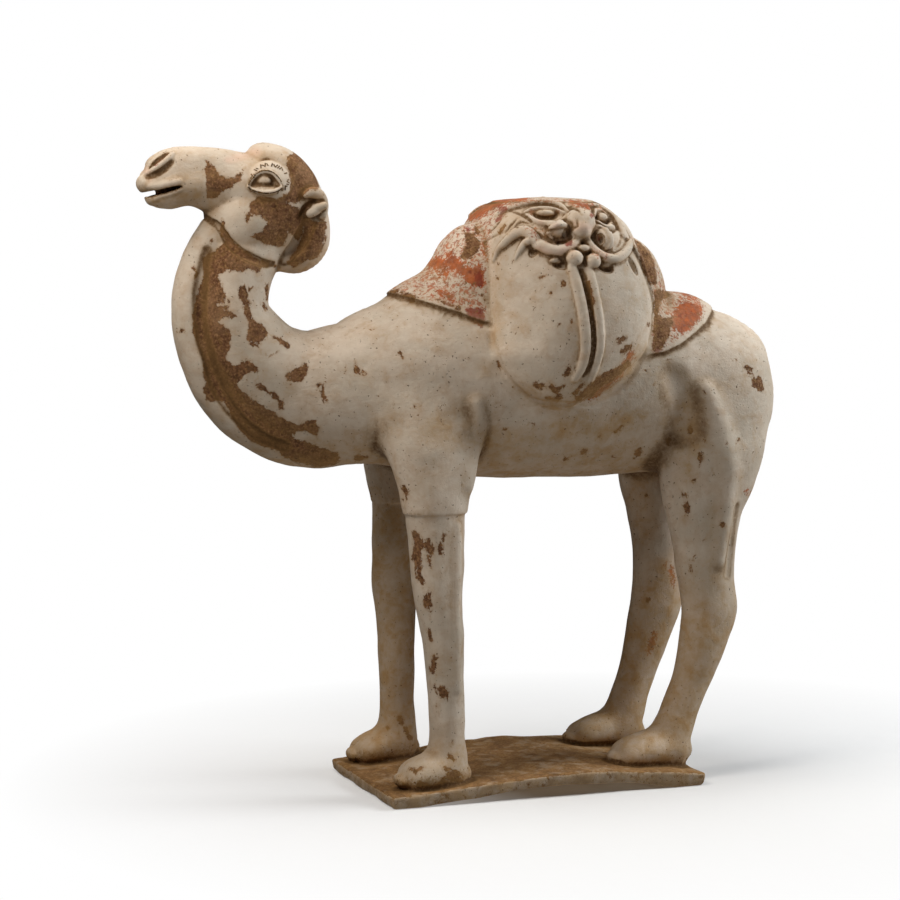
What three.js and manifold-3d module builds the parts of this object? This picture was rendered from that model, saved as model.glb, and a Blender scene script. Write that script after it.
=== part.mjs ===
// A painted terracotta camel with saddlebags, standing on a thin arched slab, fired as one piece.
// Millimetres, +Z up. The camel faces -X and its near side faces -Y.
// The origin is on the ground, under the middle of the whole figure.
import * as THREE from "three";
import { mergeVertices } from "three/addons/utils/BufferGeometryUtils.js";
import Module from "manifold-3d";

const wasm = await Module();
wasm.setup();

// Slab: its ends, width and thickness, its rise in the middle, how far its underside is cut back
// all round, the share of its length at each end that lies flat on the ground, and its facets.
const SLAB = {
  front: -75.5, rear: 133.5, width: 130, thick: 8, rise: 6.9, skew: 1.25, cutBack: 4, flatEnd: 0.1, steps: 20,
};

// Lengths are laid out from the middle of the slab's stance; this brings the origin under the
// middle of the whole figure, from the muzzle to the rump.
const ORIGIN_SHIFT = 3.4;

// A station is [x, y, z, half depth, half width]: the middle of a cross-section of the clay and its
// two half sizes. Width runs across the camel, depth at right angles to it and to the limb.
const BODY = [
  [211, 0, 243, 3, 4],
  [208.5, 0, 243, 17, 15],
  [202, 0, 244, 31, 28],
  [190, 0, 246, 41, 40],
  [172, 0, 250, 50, 48],
  [142, 0, 256, 55, 51],
  [100, 0, 258, 60, 53],
  [55, 0, 259, 62, 54],
  [10, 0, 260, 61, 53],
  [-30, 0, 261.5, 58, 51],
  [-60, 0, 260.5, 53, 46],
  [-86, 0, 255, 47, 40],
  [-108, 0, 256, 42, 35],
  [-127, 0, 262, 37, 31],
  [-143, 0, 274, 32, 29],
  [-154, 0, 289, 27.5, 27],
  [-159, 0, 304, 25.5, 26],
  [-159, 0, 318, 25, 25],
  [-155, 0, 334, 25, 24],
  [-147, 0, 351, 24, 22],
  [-142, 0, 364, 20, 18],
];
const BODY_MESH = { sides: 20, rings: 28 };

// The thick ridge down the front of the neck, from the throat to the chest.
const NECK_RIDGE = [
  [-168, 0, 366, 8, 9],
  [-174, 0, 352, 11, 13],
  [-181, 0, 336, 13, 14],
  [-186, 0, 318, 13, 15],
  [-186, 0, 300, 13, 15],
  [-182, 0, 280, 13, 16],
  [-172, 0, 258, 14, 17],
  [-155, 0, 240, 15, 18],
  [-132, 0, 228, 16, 20],
  [-106, 0, 223, 16, 20],
  [-84, 0, 222, 12, 16],
];

// Legs, each straight down into its foot. The far ones stand a little further forward.
const NEAR_FORELEG = [
  [-42, -16, 272, 16, 10],
  [-44, -29, 250, 29, 18],
  [-44, -38, 224, 29, 20],
  [-41.5, -42, 196, 23, 19],
  [-41, -43, 182, 20.5, 18],
  [-41, -43, 178, 18.6, 16.5],
  [-40.5, -43, 150, 17, 15.5],
  [-39.5, -44, 125, 15, 14.5],
  [-36, -44, 98, 12.2, 13],
  [-34.5, -44, 66, 11, 12],
  [-33.5, -44, 40, 11.5, 12.5],
  [-34, -44, 24, 13.5, 14.5],
  [-35, -44, 6, 13, 14],
];
const FAR_FORELEG = [
  [-40, 16, 272, 16, 10],
  [-39, 29, 250, 27, 18],
  [-38, 38, 224, 25, 20],
  [-38, 42, 196, 20, 19],
  [-38, 43, 182, 17, 18],
  [-38, 43, 178, 16, 16.5],
  [-38.5, 43, 150, 15.5, 15.5],
  [-39.5, 44, 125, 14.5, 14.5],
  [-38, 44, 98, 12.2, 13],
  [-37.5, 44, 66, 11, 12],
  [-37.5, 44, 40, 11.5, 12.5],
  [-38.5, 44, 24, 13.5, 14.5],
  [-39.5, 44, 6, 13, 14],
];
const NEAR_HIND_LEG = [
  [156, -12, 274, 18, 12],
  [157, -23, 250, 34, 23],
  [156, -31, 220, 36, 25],
  [152, -34, 194, 32.5, 20],
  [148, -35, 172, 26.5, 17],
  [148.5, -35, 150, 21.5, 15],
  [150, -35, 128, 19.5, 14],
  [151.5, -35.5, 108, 19.4, 13.5],
  [146.5, -36, 86, 16.2, 13],
  [139.5, -36, 64, 13.4, 12],
  [131, -36, 44, 12.2, 12.5],
  [124, -36, 28, 13.5, 14],
  [120.5, -36, 8, 13, 14],
];
const FAR_HIND_LEG = [
  [150, 12, 274, 18, 12],
  [150, 22, 250, 31, 22],
  [149, 28, 220, 33, 23],
  [147, 30, 194, 30, 19],
  [146, 31, 172, 23, 16],
  [146.5, 31, 150, 19, 14],
  [147, 31, 128, 18.5, 13.5],
  [145.5, 31.5, 108, 18, 13],
  [139, 32, 86, 16, 12.5],
  [133, 32, 64, 13.2, 12],
  [126, 32, 44, 12.2, 12.5],
  [120, 32, 28, 13.5, 14],
  [116, 32, 8, 13, 14],
];
// Feet: long pads that point forward, from the heel to the toe, given from the middle of the ankle.
const FOOT = [
  [11, 0, 10, 5, 8],
  [7, 0, 11, 9.5, 13],
  [-3, 0, 12, 12.5, 15],
  [-15, 0, 11, 11.5, 17],
  [-25, 0, 9, 8.5, 15.5],
  [-30, 0, 8, 4, 9],
];
const ANKLES = {
  nearFore: [-35, -45, 6],
  farFore: [-38, 45, 6],
  nearHind: [120, -37, 9],
  farHind: [118, 33, 9],
};
const HIND_FOOT_LONGER = 1.18;

// Humps: centre and half sizes. The pack sits between them.
const FRONT_HUMP = { at: [-2, 0, 316], half: [32, 34, 48] };
const REAR_HUMP = { at: [103, 0, 312], half: [27, 33, 42] };
const WITHERS = { at: [-20, 0, 300], half: [42, 30, 33] };

// Saddle blanket: an oval seen from above, lying this much proud of the back.
const BLANKET = { middle: 51.5, halfLength: 111.5, halfWidth: 50, proud: 3, bottom: 262, top: 345 };

// Pack: level sections [x, y, z, half length, half width], from the bags' bottom to the crown.
const PACK = [
  [36, 0, 246.5, 12, 58],
  [37, 0, 249, 23, 62],
  [39, 0, 255, 38, 68.5],
  [41.5, 0, 264, 51, 73.5],
  [44, 0, 275, 57.5, 76.5],
  [48.5, 0, 288, 60, 78.5],
  [51.5, 0, 302, 60, 79],
  [52.5, 0, 316, 59.5, 77.5],
  [52, 0, 332, 58, 73],
  [51, 0, 346, 55, 66.5],
  [50, 0, 357, 51, 60],
  [48.5, 0, 366, 45.5, 51.5],
  [48, 0, 373, 38, 41],
  [48, 0, 378, 28, 27],
  [48, 0, 380.5, 13, 12],
];
const PACK_SQUARE = 2.4;

// Head.
const SKULL = { at: [-139, 0, 371], half: [35, 27, 35] };
const BROW = { at: [-148, 0, 388], half: [24, 24, 18] };
const MUZZLE = [
  [-150, 0, 386, 20, 20],
  [-168, 0, 388, 19, 17.5],
  [-184, 0, 391, 16.5, 15.5],
  [-197, 0, 390.5, 15, 15],
  [-206, 0, 388, 12, 14],
  [-213, 0, 385.5, 8, 11],
  [-217, 0, 384.5, 3.5, 6],
];
const JAW = [
  [-160, 0, 375, 12, 14],
  [-176, 0, 379, 9, 12],
  [-192, 0, 379, 7.5, 11],
  [-204, 0, 378, 6.5, 10],
  [-212, 0, 379.5, 3.5, 7],
];
// The roll of hair from the forelock over the crown and down behind the cheek.
const HAIR_ROLL = [
  [-152, 0, 397, 8, 12],
  [-142, 0, 400, 11, 17],
  [-129, 0, 397, 15, 20],
  [-117, 0, 384, 17, 21],
  [-113, 0, 367, 15, 20],
  [-113, 0, 352, 13, 18],
  [-119, 0, 342, 10, 16],
  [-130, 0, 339, 7, 13],
];
const EYE_DISC = { at: [-142, 21, 388], half: [13, 5.5, 13.5] };
const EYEBALL = { at: [-143.5, 25.5, 388], half: [6.5, 3.5, 4.8] };
const EAR = [
  [-121, 17, 381, 4, 4],
  [-115, 21, 378, 6, 5],
  [-111, 22, 371, 6.5, 5],
  [-114, 22, 364, 4, 4],
];
const MOUTH = [
  [-224, 0, 379, 2.4, 20],
  [-210, 0, 380, 2.4, 20],
  [-200, 0, 382, 1.8, 20],
  [-194, 0, 384, 0.5, 20],
];
const NOSTRIL = [
  [-214, 12, 395, 1, 3],
  [-207.5, 13, 400, 1.6, 4],
  [-201, 13, 405, 1, 3],
];

// Mask on each bag. Its rolls are [x, z, radius], and its lumps [x, z, half length, half height],
// laid on the face of the pack, so that a lump stands proud by half its thickness.
const LIP_ROLLS = [
  [
    [2, 337, 2.4], [4, 345, 3.4], [9, 352, 4], [15, 356, 4.4],
    [20, 350, 4.4], [26, 345, 4.6], [35, 345, 4.6], [45, 353, 3.8],
  ],
  [
    [53, 354, 3], [56, 348, 3.4], [64, 341, 3.8], [73, 340, 3.8],
    [82, 344, 3.6], [89, 347, 3.4], [94, 333, 2.8], [99, 321, 2.2],
  ],
];
const BROW_ROLLS = [
  [[12, 371, 2.5], [21, 375, 3.5], [31, 376, 4], [40, 375, 4], [46, 372, 3]],
  [[60, 373, 3], [68, 371, 3.6], [75, 366, 3.6], [80, 358, 3], [81, 351, 2.2]],
];
const EYE_SOCKETS = [[32, 367.5, 9.5, 4.8], [67, 365, 6.5, 4.8]];
const EYE_SOCKET_DEEP = 4;
const NOSE = [[50, 361, 11, 8.5], [33.5, 356, 5.8, 5.8], [64.5, 352, 5.2, 6.2], [57, 374.5, 7, 4]];
const NOSE_THICK = 8;
const TEETH = [[41.5, 338.5, 5.5, 5.2], [53, 337.5, 4.8, 4.8]];
const TEETH_THICK = 4.5;
// Two bands hang from the teeth down the bag: [x, z, half breadth].
const BANDS = [
  [[42.5, 334, 3.6], [45, 312, 3.9], [46.5, 286, 4], [40, 264, 2.4]],
  [[51.5, 333, 2.6], [54.6, 312, 3], [56.3, 286, 3], [50.5, 262, 2]],
];
const BAND_THICK = 2.6;

// Mesh fineness: points closer than this are one point, an ellipsoid has this many rings for each of
// its sides, and a roll this many rings for each of its points.
const WELD = 1e-3;
const ELLIPSOID_RINGS = 0.6;
const ROLL_RINGS = 1.2;
// The share of the pack's height to which its level sections are searched.
const SEARCH_END = 1e-5;

function toSolid(geometry) {
  geometry.deleteAttribute("normal");
  geometry.deleteAttribute("uv");
  const merged = mergeVertices(geometry, WELD);
  return new wasm.Manifold(
    new wasm.Mesh({
      numProp: 3,
      vertProperties: new Float32Array(merged.attributes.position.array),
      triVerts: new Uint32Array(merged.index.array),
    }),
  );
}

function toGeometry(solid) {
  const mesh = solid.getMesh();
  const geometry = new THREE.BufferGeometry();
  geometry.setAttribute("position", new THREE.BufferAttribute(new Float32Array(mesh.vertProperties), 3));
  geometry.setIndex(new THREE.BufferAttribute(new Uint32Array(mesh.triVerts), 1));
  geometry.computeVertexNormals();
  return geometry;
}

// A point of the circle, squared off a little when the power is over 2.
function squareOff(value, power) {
  return Math.sign(value) * Math.pow(Math.abs(value), 2 / power);
}

// Spreads a closed cylinder along its stations, so that each ring becomes one cross-section.
// The cross-sections stay level where the limb is upright.
function limb(stations, { sides = 20, rings = 24, square = 2, upright = false } = {}) {
  const spine = new THREE.CatmullRomCurve3(stations.map((s) => new THREE.Vector3(s[0], s[1], s[2])));
  const size = new THREE.CatmullRomCurve3(stations.map((s) => new THREE.Vector3(s[3], s[4], 0)));
  const across = new THREE.Vector3(0, 1, 0);
  const geometry = new THREE.CylinderGeometry(1, 1, 1, sides, rings);
  const position = geometry.attributes.position;
  for (let i = 0; i < position.count; i += 1) {
    const t = THREE.MathUtils.clamp(0.5 - position.getY(i), 0, 1);
    const middle = spine.getPoint(t);
    const along = upright ? new THREE.Vector3(0, 0, -1) : spine.getTangent(t).negate();
    const half = size.getPoint(t);
    const deep = new THREE.Vector3().crossVectors(across, along).normalize();
    const wide = new THREE.Vector3().crossVectors(deep, along).normalize();
    middle.addScaledVector(deep, squareOff(position.getX(i), square) * half.x);
    middle.addScaledVector(wide, squareOff(position.getZ(i), square) * half.y);
    position.setXYZ(i, middle.x, middle.y, middle.z);
  }
  return toSolid(geometry);
}

function ellipsoid({ at, half }, sides = 24) {
  const geometry = new THREE.SphereGeometry(1, sides, Math.round(sides * ELLIPSOID_RINGS));
  geometry.scale(half[0], half[1], half[2]);
  geometry.translate(at[0], at[1], at[2]);
  return toSolid(geometry);
}

function mirrored(stations) {
  return stations.map(([x, y, z, ...half]) => [x, -y, z, ...half]);
}

function mirroredEllipsoid({ at, half }) {
  return { at: [at[0], -at[1], at[2]], half };
}

function joined(solids) {
  return solids.reduce((sum, next) => sum.add(next));
}

// A box bent upwards along its length. The rise leans towards the rear, as the skew says.
function slab() {
  const length = SLAB.rear - SLAB.front;
  const rise = (share) => SLAB.rise * Math.sin(Math.PI * Math.pow(share, SLAB.skew));
  const geometry = new THREE.BoxGeometry(1, 1, 1, SLAB.steps, 1, 1);
  const position = geometry.attributes.position;
  for (let i = 0; i < position.count; i += 1) {
    const share = position.getX(i) + 0.5;
    const isTop = position.getZ(i) > 0;
    const inset = isTop ? 0 : SLAB.cutBack;
    const arched = THREE.MathUtils.clamp((share - SLAB.flatEnd) / (1 - 2 * SLAB.flatEnd), 0, 1);
    position.setXYZ(
      i,
      SLAB.front + length / 2 + position.getX(i) * (length - 2 * inset),
      position.getY(i) * (SLAB.width - 2 * inset),
      isTop ? SLAB.thick + rise(share) : rise(arched),
    );
  }
  return toSolid(geometry);
}

function leg(stations, ankle, longer) {
  const foot = FOOT.map(([x, y, z, depth, width]) => [
    ankle[0] + x * longer, ankle[1] + y, ankle[2] + z, depth, width,
  ]);
  return limb(stations, { sides: 10, rings: 14 }).add(limb(foot, { sides: 8, rings: 6 }));
}

function head() {
  const clay = joined([
    ellipsoid(SKULL, 16),
    ellipsoid(BROW, 12),
    limb(MUZZLE, { sides: 12, rings: 8, square: 2.4 }),
    limb(JAW, { sides: 8, rings: 6 }),
    limb(HAIR_ROLL, { sides: 12, rings: 11 }),
    ...[EYE_DISC, EYEBALL].flatMap((form) => [ellipsoid(form, 8), ellipsoid(mirroredEllipsoid(form), 8)]),
    ...[EAR, mirrored(EAR)].map((ear) => limb(ear, { sides: 6, rings: 4 })),
  ]);
  const cuts = [MOUTH, NOSTRIL, mirrored(NOSTRIL)].map((slit) => limb(slit, { sides: 6, rings: 3 }));
  return clay.subtract(joined(cuts));
}

// The cloth is the back itself made a little fuller, cut out by an upright oval.
function blanket() {
  const fuller = BODY.map(([x, y, z, depth, width]) => [
    x, y, z, depth + BLANKET.proud, width + BLANKET.proud,
  ]);
  const oval = new THREE.CylinderGeometry(1, 1, BLANKET.top - BLANKET.bottom, 28);
  oval.rotateX(Math.PI / 2);
  oval.scale(BLANKET.halfLength, BLANKET.halfWidth, 1);
  oval.translate(BLANKET.middle, 0, (BLANKET.top + BLANKET.bottom) / 2);
  return limb(fuller, BODY_MESH).intersect(toSolid(oval));
}

// How far the pack's face is from the middle plane, at a length and height.
function packFace(x, z) {
  const middles = new THREE.CatmullRomCurve3(PACK.map((s) => new THREE.Vector3(s[0], s[1], s[2])));
  const halves = new THREE.CatmullRomCurve3(PACK.map((s) => new THREE.Vector3(s[3], s[4], 0)));
  let low = 0;
  let high = 1;
  while (high - low > SEARCH_END) {
    const guess = (low + high) / 2;
    if (middles.getPoint(guess).z < z) {
      low = guess;
    } else {
      high = guess;
    }
  }
  const half = halves.getPoint(low);
  const along = Math.min(Math.abs(x - middles.getPoint(low).x) / half.x, 1);
  return half.y * Math.pow(1 - Math.pow(along, PACK_SQUARE), 1 / PACK_SQUARE);
}

function roll(points, side, thick) {
  const stations = points.map(([x, z, radius]) => [x, side * packFace(x, z), z, radius, thick ?? radius]);
  return limb(stations, { sides: 6, rings: Math.round(points.length * ROLL_RINGS) });
}

function lump([x, z, halfLength, halfHeight], side, thick) {
  return ellipsoid({ at: [x, side * packFace(x, z), z], half: [halfLength, thick, halfHeight] }, 8);
}

// Presses the eyes of one bag's mask into the clay and lays on its rolls and lumps.
// Side is -1 for the near bag and 1 for the far one.
function addMask(clay, side) {
  const sockets = EYE_SOCKETS.map((form) => lump(form, side, EYE_SOCKET_DEEP));
  const laid = [
    ...[...LIP_ROLLS, ...BROW_ROLLS].map((points) => roll(points, side)),
    ...NOSE.map((form) => lump(form, side, NOSE_THICK)),
    ...TEETH.map((form) => lump(form, side, TEETH_THICK)),
    ...BANDS.map((points) => roll(points, side, BAND_THICK)),
  ];
  return clay.subtract(joined(sockets)).add(joined(laid));
}

function pack() {
  const bags = limb(PACK, { sides: 24, rings: 14, square: PACK_SQUARE, upright: true });
  return [-1, 1].reduce(addMask, bags);
}

function camel() {
  return joined([
    limb(BODY, BODY_MESH),
    limb(NECK_RIDGE, { sides: 10, rings: 16 }),
    ...[FRONT_HUMP, REAR_HUMP, WITHERS].map((form) => ellipsoid(form, 14)),
    leg(NEAR_FORELEG, ANKLES.nearFore, 1),
    leg(FAR_FORELEG, ANKLES.farFore, 1),
    leg(NEAR_HIND_LEG, ANKLES.nearHind, HIND_FOOT_LONGER),
    leg(FAR_HIND_LEG, ANKLES.farHind, HIND_FOOT_LONGER),
    head(),
    blanket(),
    pack(),
    slab(),
  ]);
}

const geometry = toGeometry(camel());
geometry.translate(ORIGIN_SHIFT, 0, 0);

const figure = new THREE.Mesh(
  geometry,
  new THREE.MeshStandardMaterial({ color: "#cdbfae", roughness: 0.92, metalness: 0 }),
);
figure.name = "camel_figure";

const group = new THREE.Group();
group.add(figure);

export default group;
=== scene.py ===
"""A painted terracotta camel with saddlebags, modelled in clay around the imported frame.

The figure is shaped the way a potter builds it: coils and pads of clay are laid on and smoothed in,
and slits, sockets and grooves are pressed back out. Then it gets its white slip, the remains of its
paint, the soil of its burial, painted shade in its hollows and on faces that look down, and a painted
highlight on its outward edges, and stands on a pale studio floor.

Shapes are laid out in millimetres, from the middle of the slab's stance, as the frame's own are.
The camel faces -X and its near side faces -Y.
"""

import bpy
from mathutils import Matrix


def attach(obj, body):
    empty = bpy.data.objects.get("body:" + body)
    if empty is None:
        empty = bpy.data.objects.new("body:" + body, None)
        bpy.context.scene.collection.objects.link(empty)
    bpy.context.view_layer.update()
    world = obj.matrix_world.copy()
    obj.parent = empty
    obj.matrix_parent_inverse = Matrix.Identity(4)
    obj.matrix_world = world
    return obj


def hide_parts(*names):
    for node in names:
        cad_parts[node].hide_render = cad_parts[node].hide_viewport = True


bl_info = {
    "name": "Terracotta Camel",
    "version": (1, 0, 0),
    "blender": (4, 5, 0),
    "location": "View3D > Sidebar > Camel",
    "description": "Models a painted terracotta camel figure and the studio it stands in",
    "category": "Object",
}

import math

import bmesh
import bpy
import numpy as np
from bpy.props import FloatProperty, FloatVectorProperty, IntProperty, PointerProperty, StringProperty
from mathutils import Vector

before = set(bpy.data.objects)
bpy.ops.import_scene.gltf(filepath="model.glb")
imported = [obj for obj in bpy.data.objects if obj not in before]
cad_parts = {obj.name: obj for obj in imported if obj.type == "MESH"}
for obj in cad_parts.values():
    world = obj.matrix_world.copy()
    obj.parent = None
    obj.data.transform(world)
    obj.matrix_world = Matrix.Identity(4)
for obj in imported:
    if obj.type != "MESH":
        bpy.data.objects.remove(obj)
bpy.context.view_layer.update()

MM = 0.001
NODE = "camel_figure"

# The layout's origin lies this far behind the middle of the whole figure, in mm.
LAYOUT_SHIFT = 3.4

# A station is [x, y, z, half depth, half width]: a cross-section of the clay, in mm.
BODY = [
    [209.8, 0, 243, 1, 1.3], [208.8, 0, 243, 8.5, 8.5], [206.5, 0, 243, 17, 17], [201, 0, 243.5, 29, 28],
    [190, 0, 246, 41, 40], [172, 0, 251.5, 51.5, 48], [142, 0, 256, 55, 51], [100, 0, 258, 60, 53], [55, 0, 259, 62, 54],
    [10, 0, 260, 61, 53], [-30, 0, 261.5, 58, 51], [-60, 0, 259, 52.6, 46], [-86, 0, 255, 45, 40],
    [-108, 0, 256, 41.4, 35], [-127, 0, 262, 37, 31], [-143, 0, 274, 32, 29], [-154, 0, 289, 27.5, 27],
    [-160.5, 0, 304, 24, 26], [-161, 0, 318, 23, 25], [-157, 0, 334, 23, 24], [-148, 0, 351, 23, 22],
    [-142, 0, 364, 20, 18],
]
NECK_RIDGE = [
    [-167, 0, 366, 8, 9], [-172.5, 0, 352, 11, 13], [-179.5, 0, 336, 13, 14], [-185, 0, 318, 13, 15],
    [-185, 0, 300, 13, 15], [-180.5, 0, 281, 13, 16], [-170.5, 0, 259.5, 14, 17], [-154, 0, 241.5, 15, 18],
    [-132, 0, 229, 16, 20], [-106, 0, 223.5, 16, 20], [-84, 0, 222, 12, 16],
]
LEGS = [
    [
        [-42, -9, 281, 5, 4], [-43, -18, 268, 15, 9], [-44, -29, 250, 29, 18], [-44, -38, 224, 29, 20], [-41.5, -42, 196, 23, 19],
        [-41, -43, 182, 20.5, 18], [-41, -43, 178, 18.6, 16.5], [-40.5, -43, 150, 17, 15.5],
        [-39.5, -44, 125, 15, 14.5], [-36, -44, 98, 12.2, 13], [-34.5, -44, 66, 11, 12],
        [-33.5, -44, 40, 11.5, 12.5], [-34, -44, 24, 13.5, 14.5], [-35, -44, 6, 13, 14],
    ],
    [
        [-40, 9, 281, 5, 4], [-39.5, 18, 268, 15, 9], [-39, 29, 250, 27, 18], [-38, 38, 224, 25, 20], [-38, 42, 196, 20, 19],
        [-38, 43, 182, 17, 18], [-38, 43, 178, 16, 16.5], [-38.5, 43, 150, 15.5, 15.5],
        [-39.5, 44, 125, 14.5, 14.5], [-38, 44, 98, 12.2, 13], [-37.5, 44, 66, 11, 12],
        [-37.5, 44, 40, 11.5, 12.5], [-38.5, 44, 24, 13.5, 14.5], [-39.5, 44, 6, 13, 14],
    ],
    [
        [156, -8, 284, 5, 4], [156.5, -14, 271, 17, 11], [157, -23, 250, 34, 23], [156, -31, 220, 36, 25], [152, -34, 194, 32.5, 20],
        [148, -35, 172, 26.5, 17], [148.5, -35, 150, 21.5, 15], [150, -35, 128, 19.5, 14],
        [151.5, -35.5, 108, 19.4, 13.5], [146.5, -36, 86, 16.2, 13], [139.5, -36, 64, 13.4, 12],
        [131, -36, 44, 12.2, 12.5], [124, -36, 28, 13.5, 14], [120.5, -36, 8, 13, 14],
    ],
    [
        [150, 8, 284, 5, 4], [150, 14, 271, 17, 11], [150, 22, 250, 31, 22], [149, 28, 220, 33, 23], [147, 30, 194, 30, 19],
        [146, 31, 172, 23, 16], [146.5, 31, 150, 19, 14], [147, 31, 128, 18.5, 13.5],
        [145.5, 31.5, 108, 18, 13], [139, 32, 86, 16, 12.5], [133, 32, 64, 13.2, 12],
        [126, 32, 44, 12.2, 12.5], [120, 32, 28, 13.5, 14], [116, 32, 8, 13, 14],
    ],
]
# A foot is a long pad that points forward, given from its ankle: [x, z, half depth, half width].
FOOT = [[11, 10, 5, 8], [7, 11, 9.5, 13], [-3, 12, 12.5, 15], [-15, 11, 11.5, 17], [-25, 9, 8.5, 15.5],
        [-30, 8, 4, 9]]
# Where each ankle is, and how much longer than the pattern its foot is.
ANKLES = [[-35, -45, 6, 1], [-38, 45, 6, 1], [120, -37, 9, 1.18], [118, 33, 9, 1.18]]
SLAB = {"front": -77.5, "rear": 137, "width": 130, "thick": 8, "rise": 6.9, "skew": 1.25,
        "cut_back": 1, "flat_end": 0.1}

# The pack's level sections: [x, z, half length, half width].
PACK = [
    [36, 246.5, 12, 58], [37, 249, 23, 62], [39, 255, 38, 68.5], [41.5, 264, 51, 73.5], [44, 275, 57.5, 76.5],
    [48.5, 288, 60, 78.5], [51.5, 302, 60, 79], [52.5, 316, 59.5, 77.5], [52, 332, 58, 73],
    [51, 346, 55, 66.5], [50, 357, 51, 60], [48.5, 366, 45.5, 51.5], [48, 373, 38, 41], [48, 377.6, 28, 27],
    [48, 379.2, 14, 13], [48, 379.7, 0.5, 0.5],
]
PACK_SQUARE = 2.4
MUZZLE = [
    [-150, 0, 382, 20.5, 19.5], [-166, 0, 387.5, 19.5, 17], [-184, 0, 391.4, 16.5, 14.6],
    [-197, 0, 391, 15.8, 13.2], [-204.5, 0, 389.6, 13.4, 12], [-209.5, 0, 387.4, 10, 10.5],
    [-213.6, 0, 385.8, 5, 8],
]
# The muzzle is widest low down, along the upper lip.
MUZZLE_SIDE = [
    [-172, 0, 383.5, 9, 16.5], [-188, 0, 384.4, 9, 16.4], [-200, 0, 384.6, 8, 15.2], [-209, 0, 384.2, 6, 11.8],
]
JAW = [
    [-160, 0, 375, 12, 14], [-176, 0, 379, 9, 12], [-187, 0, 379.6, 7, 11.4], [-198, 0, 377.6, 7.8, 11],
    [-204.5, 0, 376.4, 6.0, 10], [-209, 0, 376.4, 4.4, 8],
]
HAIR_ROLL = [
    [-149, 0, 396, 5, 9], [-144, 0, 400, 8.5, 14], [-139, 0, 401, 11, 17], [-130.5, 0, 395.5, 14.5, 20],
    [-119.5, 0, 382.5, 15.5, 21], [-113.5, 0, 367, 15, 21], [-112.5, 0, 351.5, 14.5, 20], [-118, 0, 341.5, 11, 18],
    [-130, 0, 339, 7, 14],
]

NEAR = -1
FAR_SIDE = 1
# A distance that is beyond every blend, in mm.
AWAY = 30.0


def smooth_path(stations, share=6):
    """The stations with the smooth curve through them filled in, share points to each span."""
    points = np.asarray(stations, float)
    padded = np.vstack([2 * points[0] - points[1], points, 2 * points[-1] - points[-2]])
    t = np.linspace(0, 1, share, endpoint=False)[:, None]
    spans = []
    for a, b, c, d in zip(padded, padded[1:], padded[2:], padded[3:]):
        spans.append(0.5 * (2 * b + (c - a) * t + (2 * a - 5 * b + 4 * c - d) * t**2
                            + (3 * b - a - 3 * c + d) * t**3))
    return np.vstack(spans + [points[-1:]])


class Form:
    """A shape that can be laid on or pressed out: its box and its distance at any point, in mm."""

    def __init__(self, low, high, distance):
        self.low = np.asarray(low, float)
        self.high = np.asarray(high, float)
        self.distance = distance


def egg(at, half, turn=None):
    """An ellipsoid. turn holds its three own axes as rows."""
    half = np.asarray(half, float)
    turn = np.eye(3) if turn is None else np.asarray(turn, float)
    reach = np.sqrt(((half[:, None] * turn) ** 2).sum(0))

    def distance(x, y, z):
        near = 0.0
        steep = 1e-9
        for axis, size in zip(turn, half):
            along = axis[0] * (x - at[0]) + axis[1] * (y - at[1]) + axis[2] * (z - at[2])
            near = near + (along / size) ** 2
            steep = steep + (along / size**2) ** 2
        near = np.sqrt(near)
        return near * (near - 1) / np.sqrt(steep)

    return Form(at - reach, at + reach, distance)


def roll(points, radii, normals=None, flat=1.0):
    """A coil of clay through the points, with a radius at each. flat below 1 presses it down along
    the normals, to that share of its thickness."""
    points = np.asarray(points, float)
    radii = np.asarray(radii, float)
    squeeze = 1 / flat**2 - 1

    def distance(x, y, z):
        best = None
        for i in range(len(points) - 1):
            a = points[i]
            step = points[i + 1] - a
            length = max(float(step @ step), 1e-9)
            dx, dy, dz = x - a[0], y - a[1], z - a[2]
            t = np.clip((dx * step[0] + dy * step[1] + dz * step[2]) / length, 0, 1)
            dx, dy, dz = dx - t * step[0], dy - t * step[1], dz - t * step[2]
            square = dx * dx + dy * dy + dz * dz
            if squeeze and normals is not None:
                n = normals[i]
                square = square + (dx * n[0] + dy * n[1] + dz * n[2]) ** 2 * squeeze
            span = np.sqrt(square) - (radii[i] + (radii[i + 1] - radii[i]) * t)
            best = span if best is None else np.minimum(best, span)
        return best

    widest = radii.max()
    return Form(points.min(0) - widest, points.max(0) + widest, distance)


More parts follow.
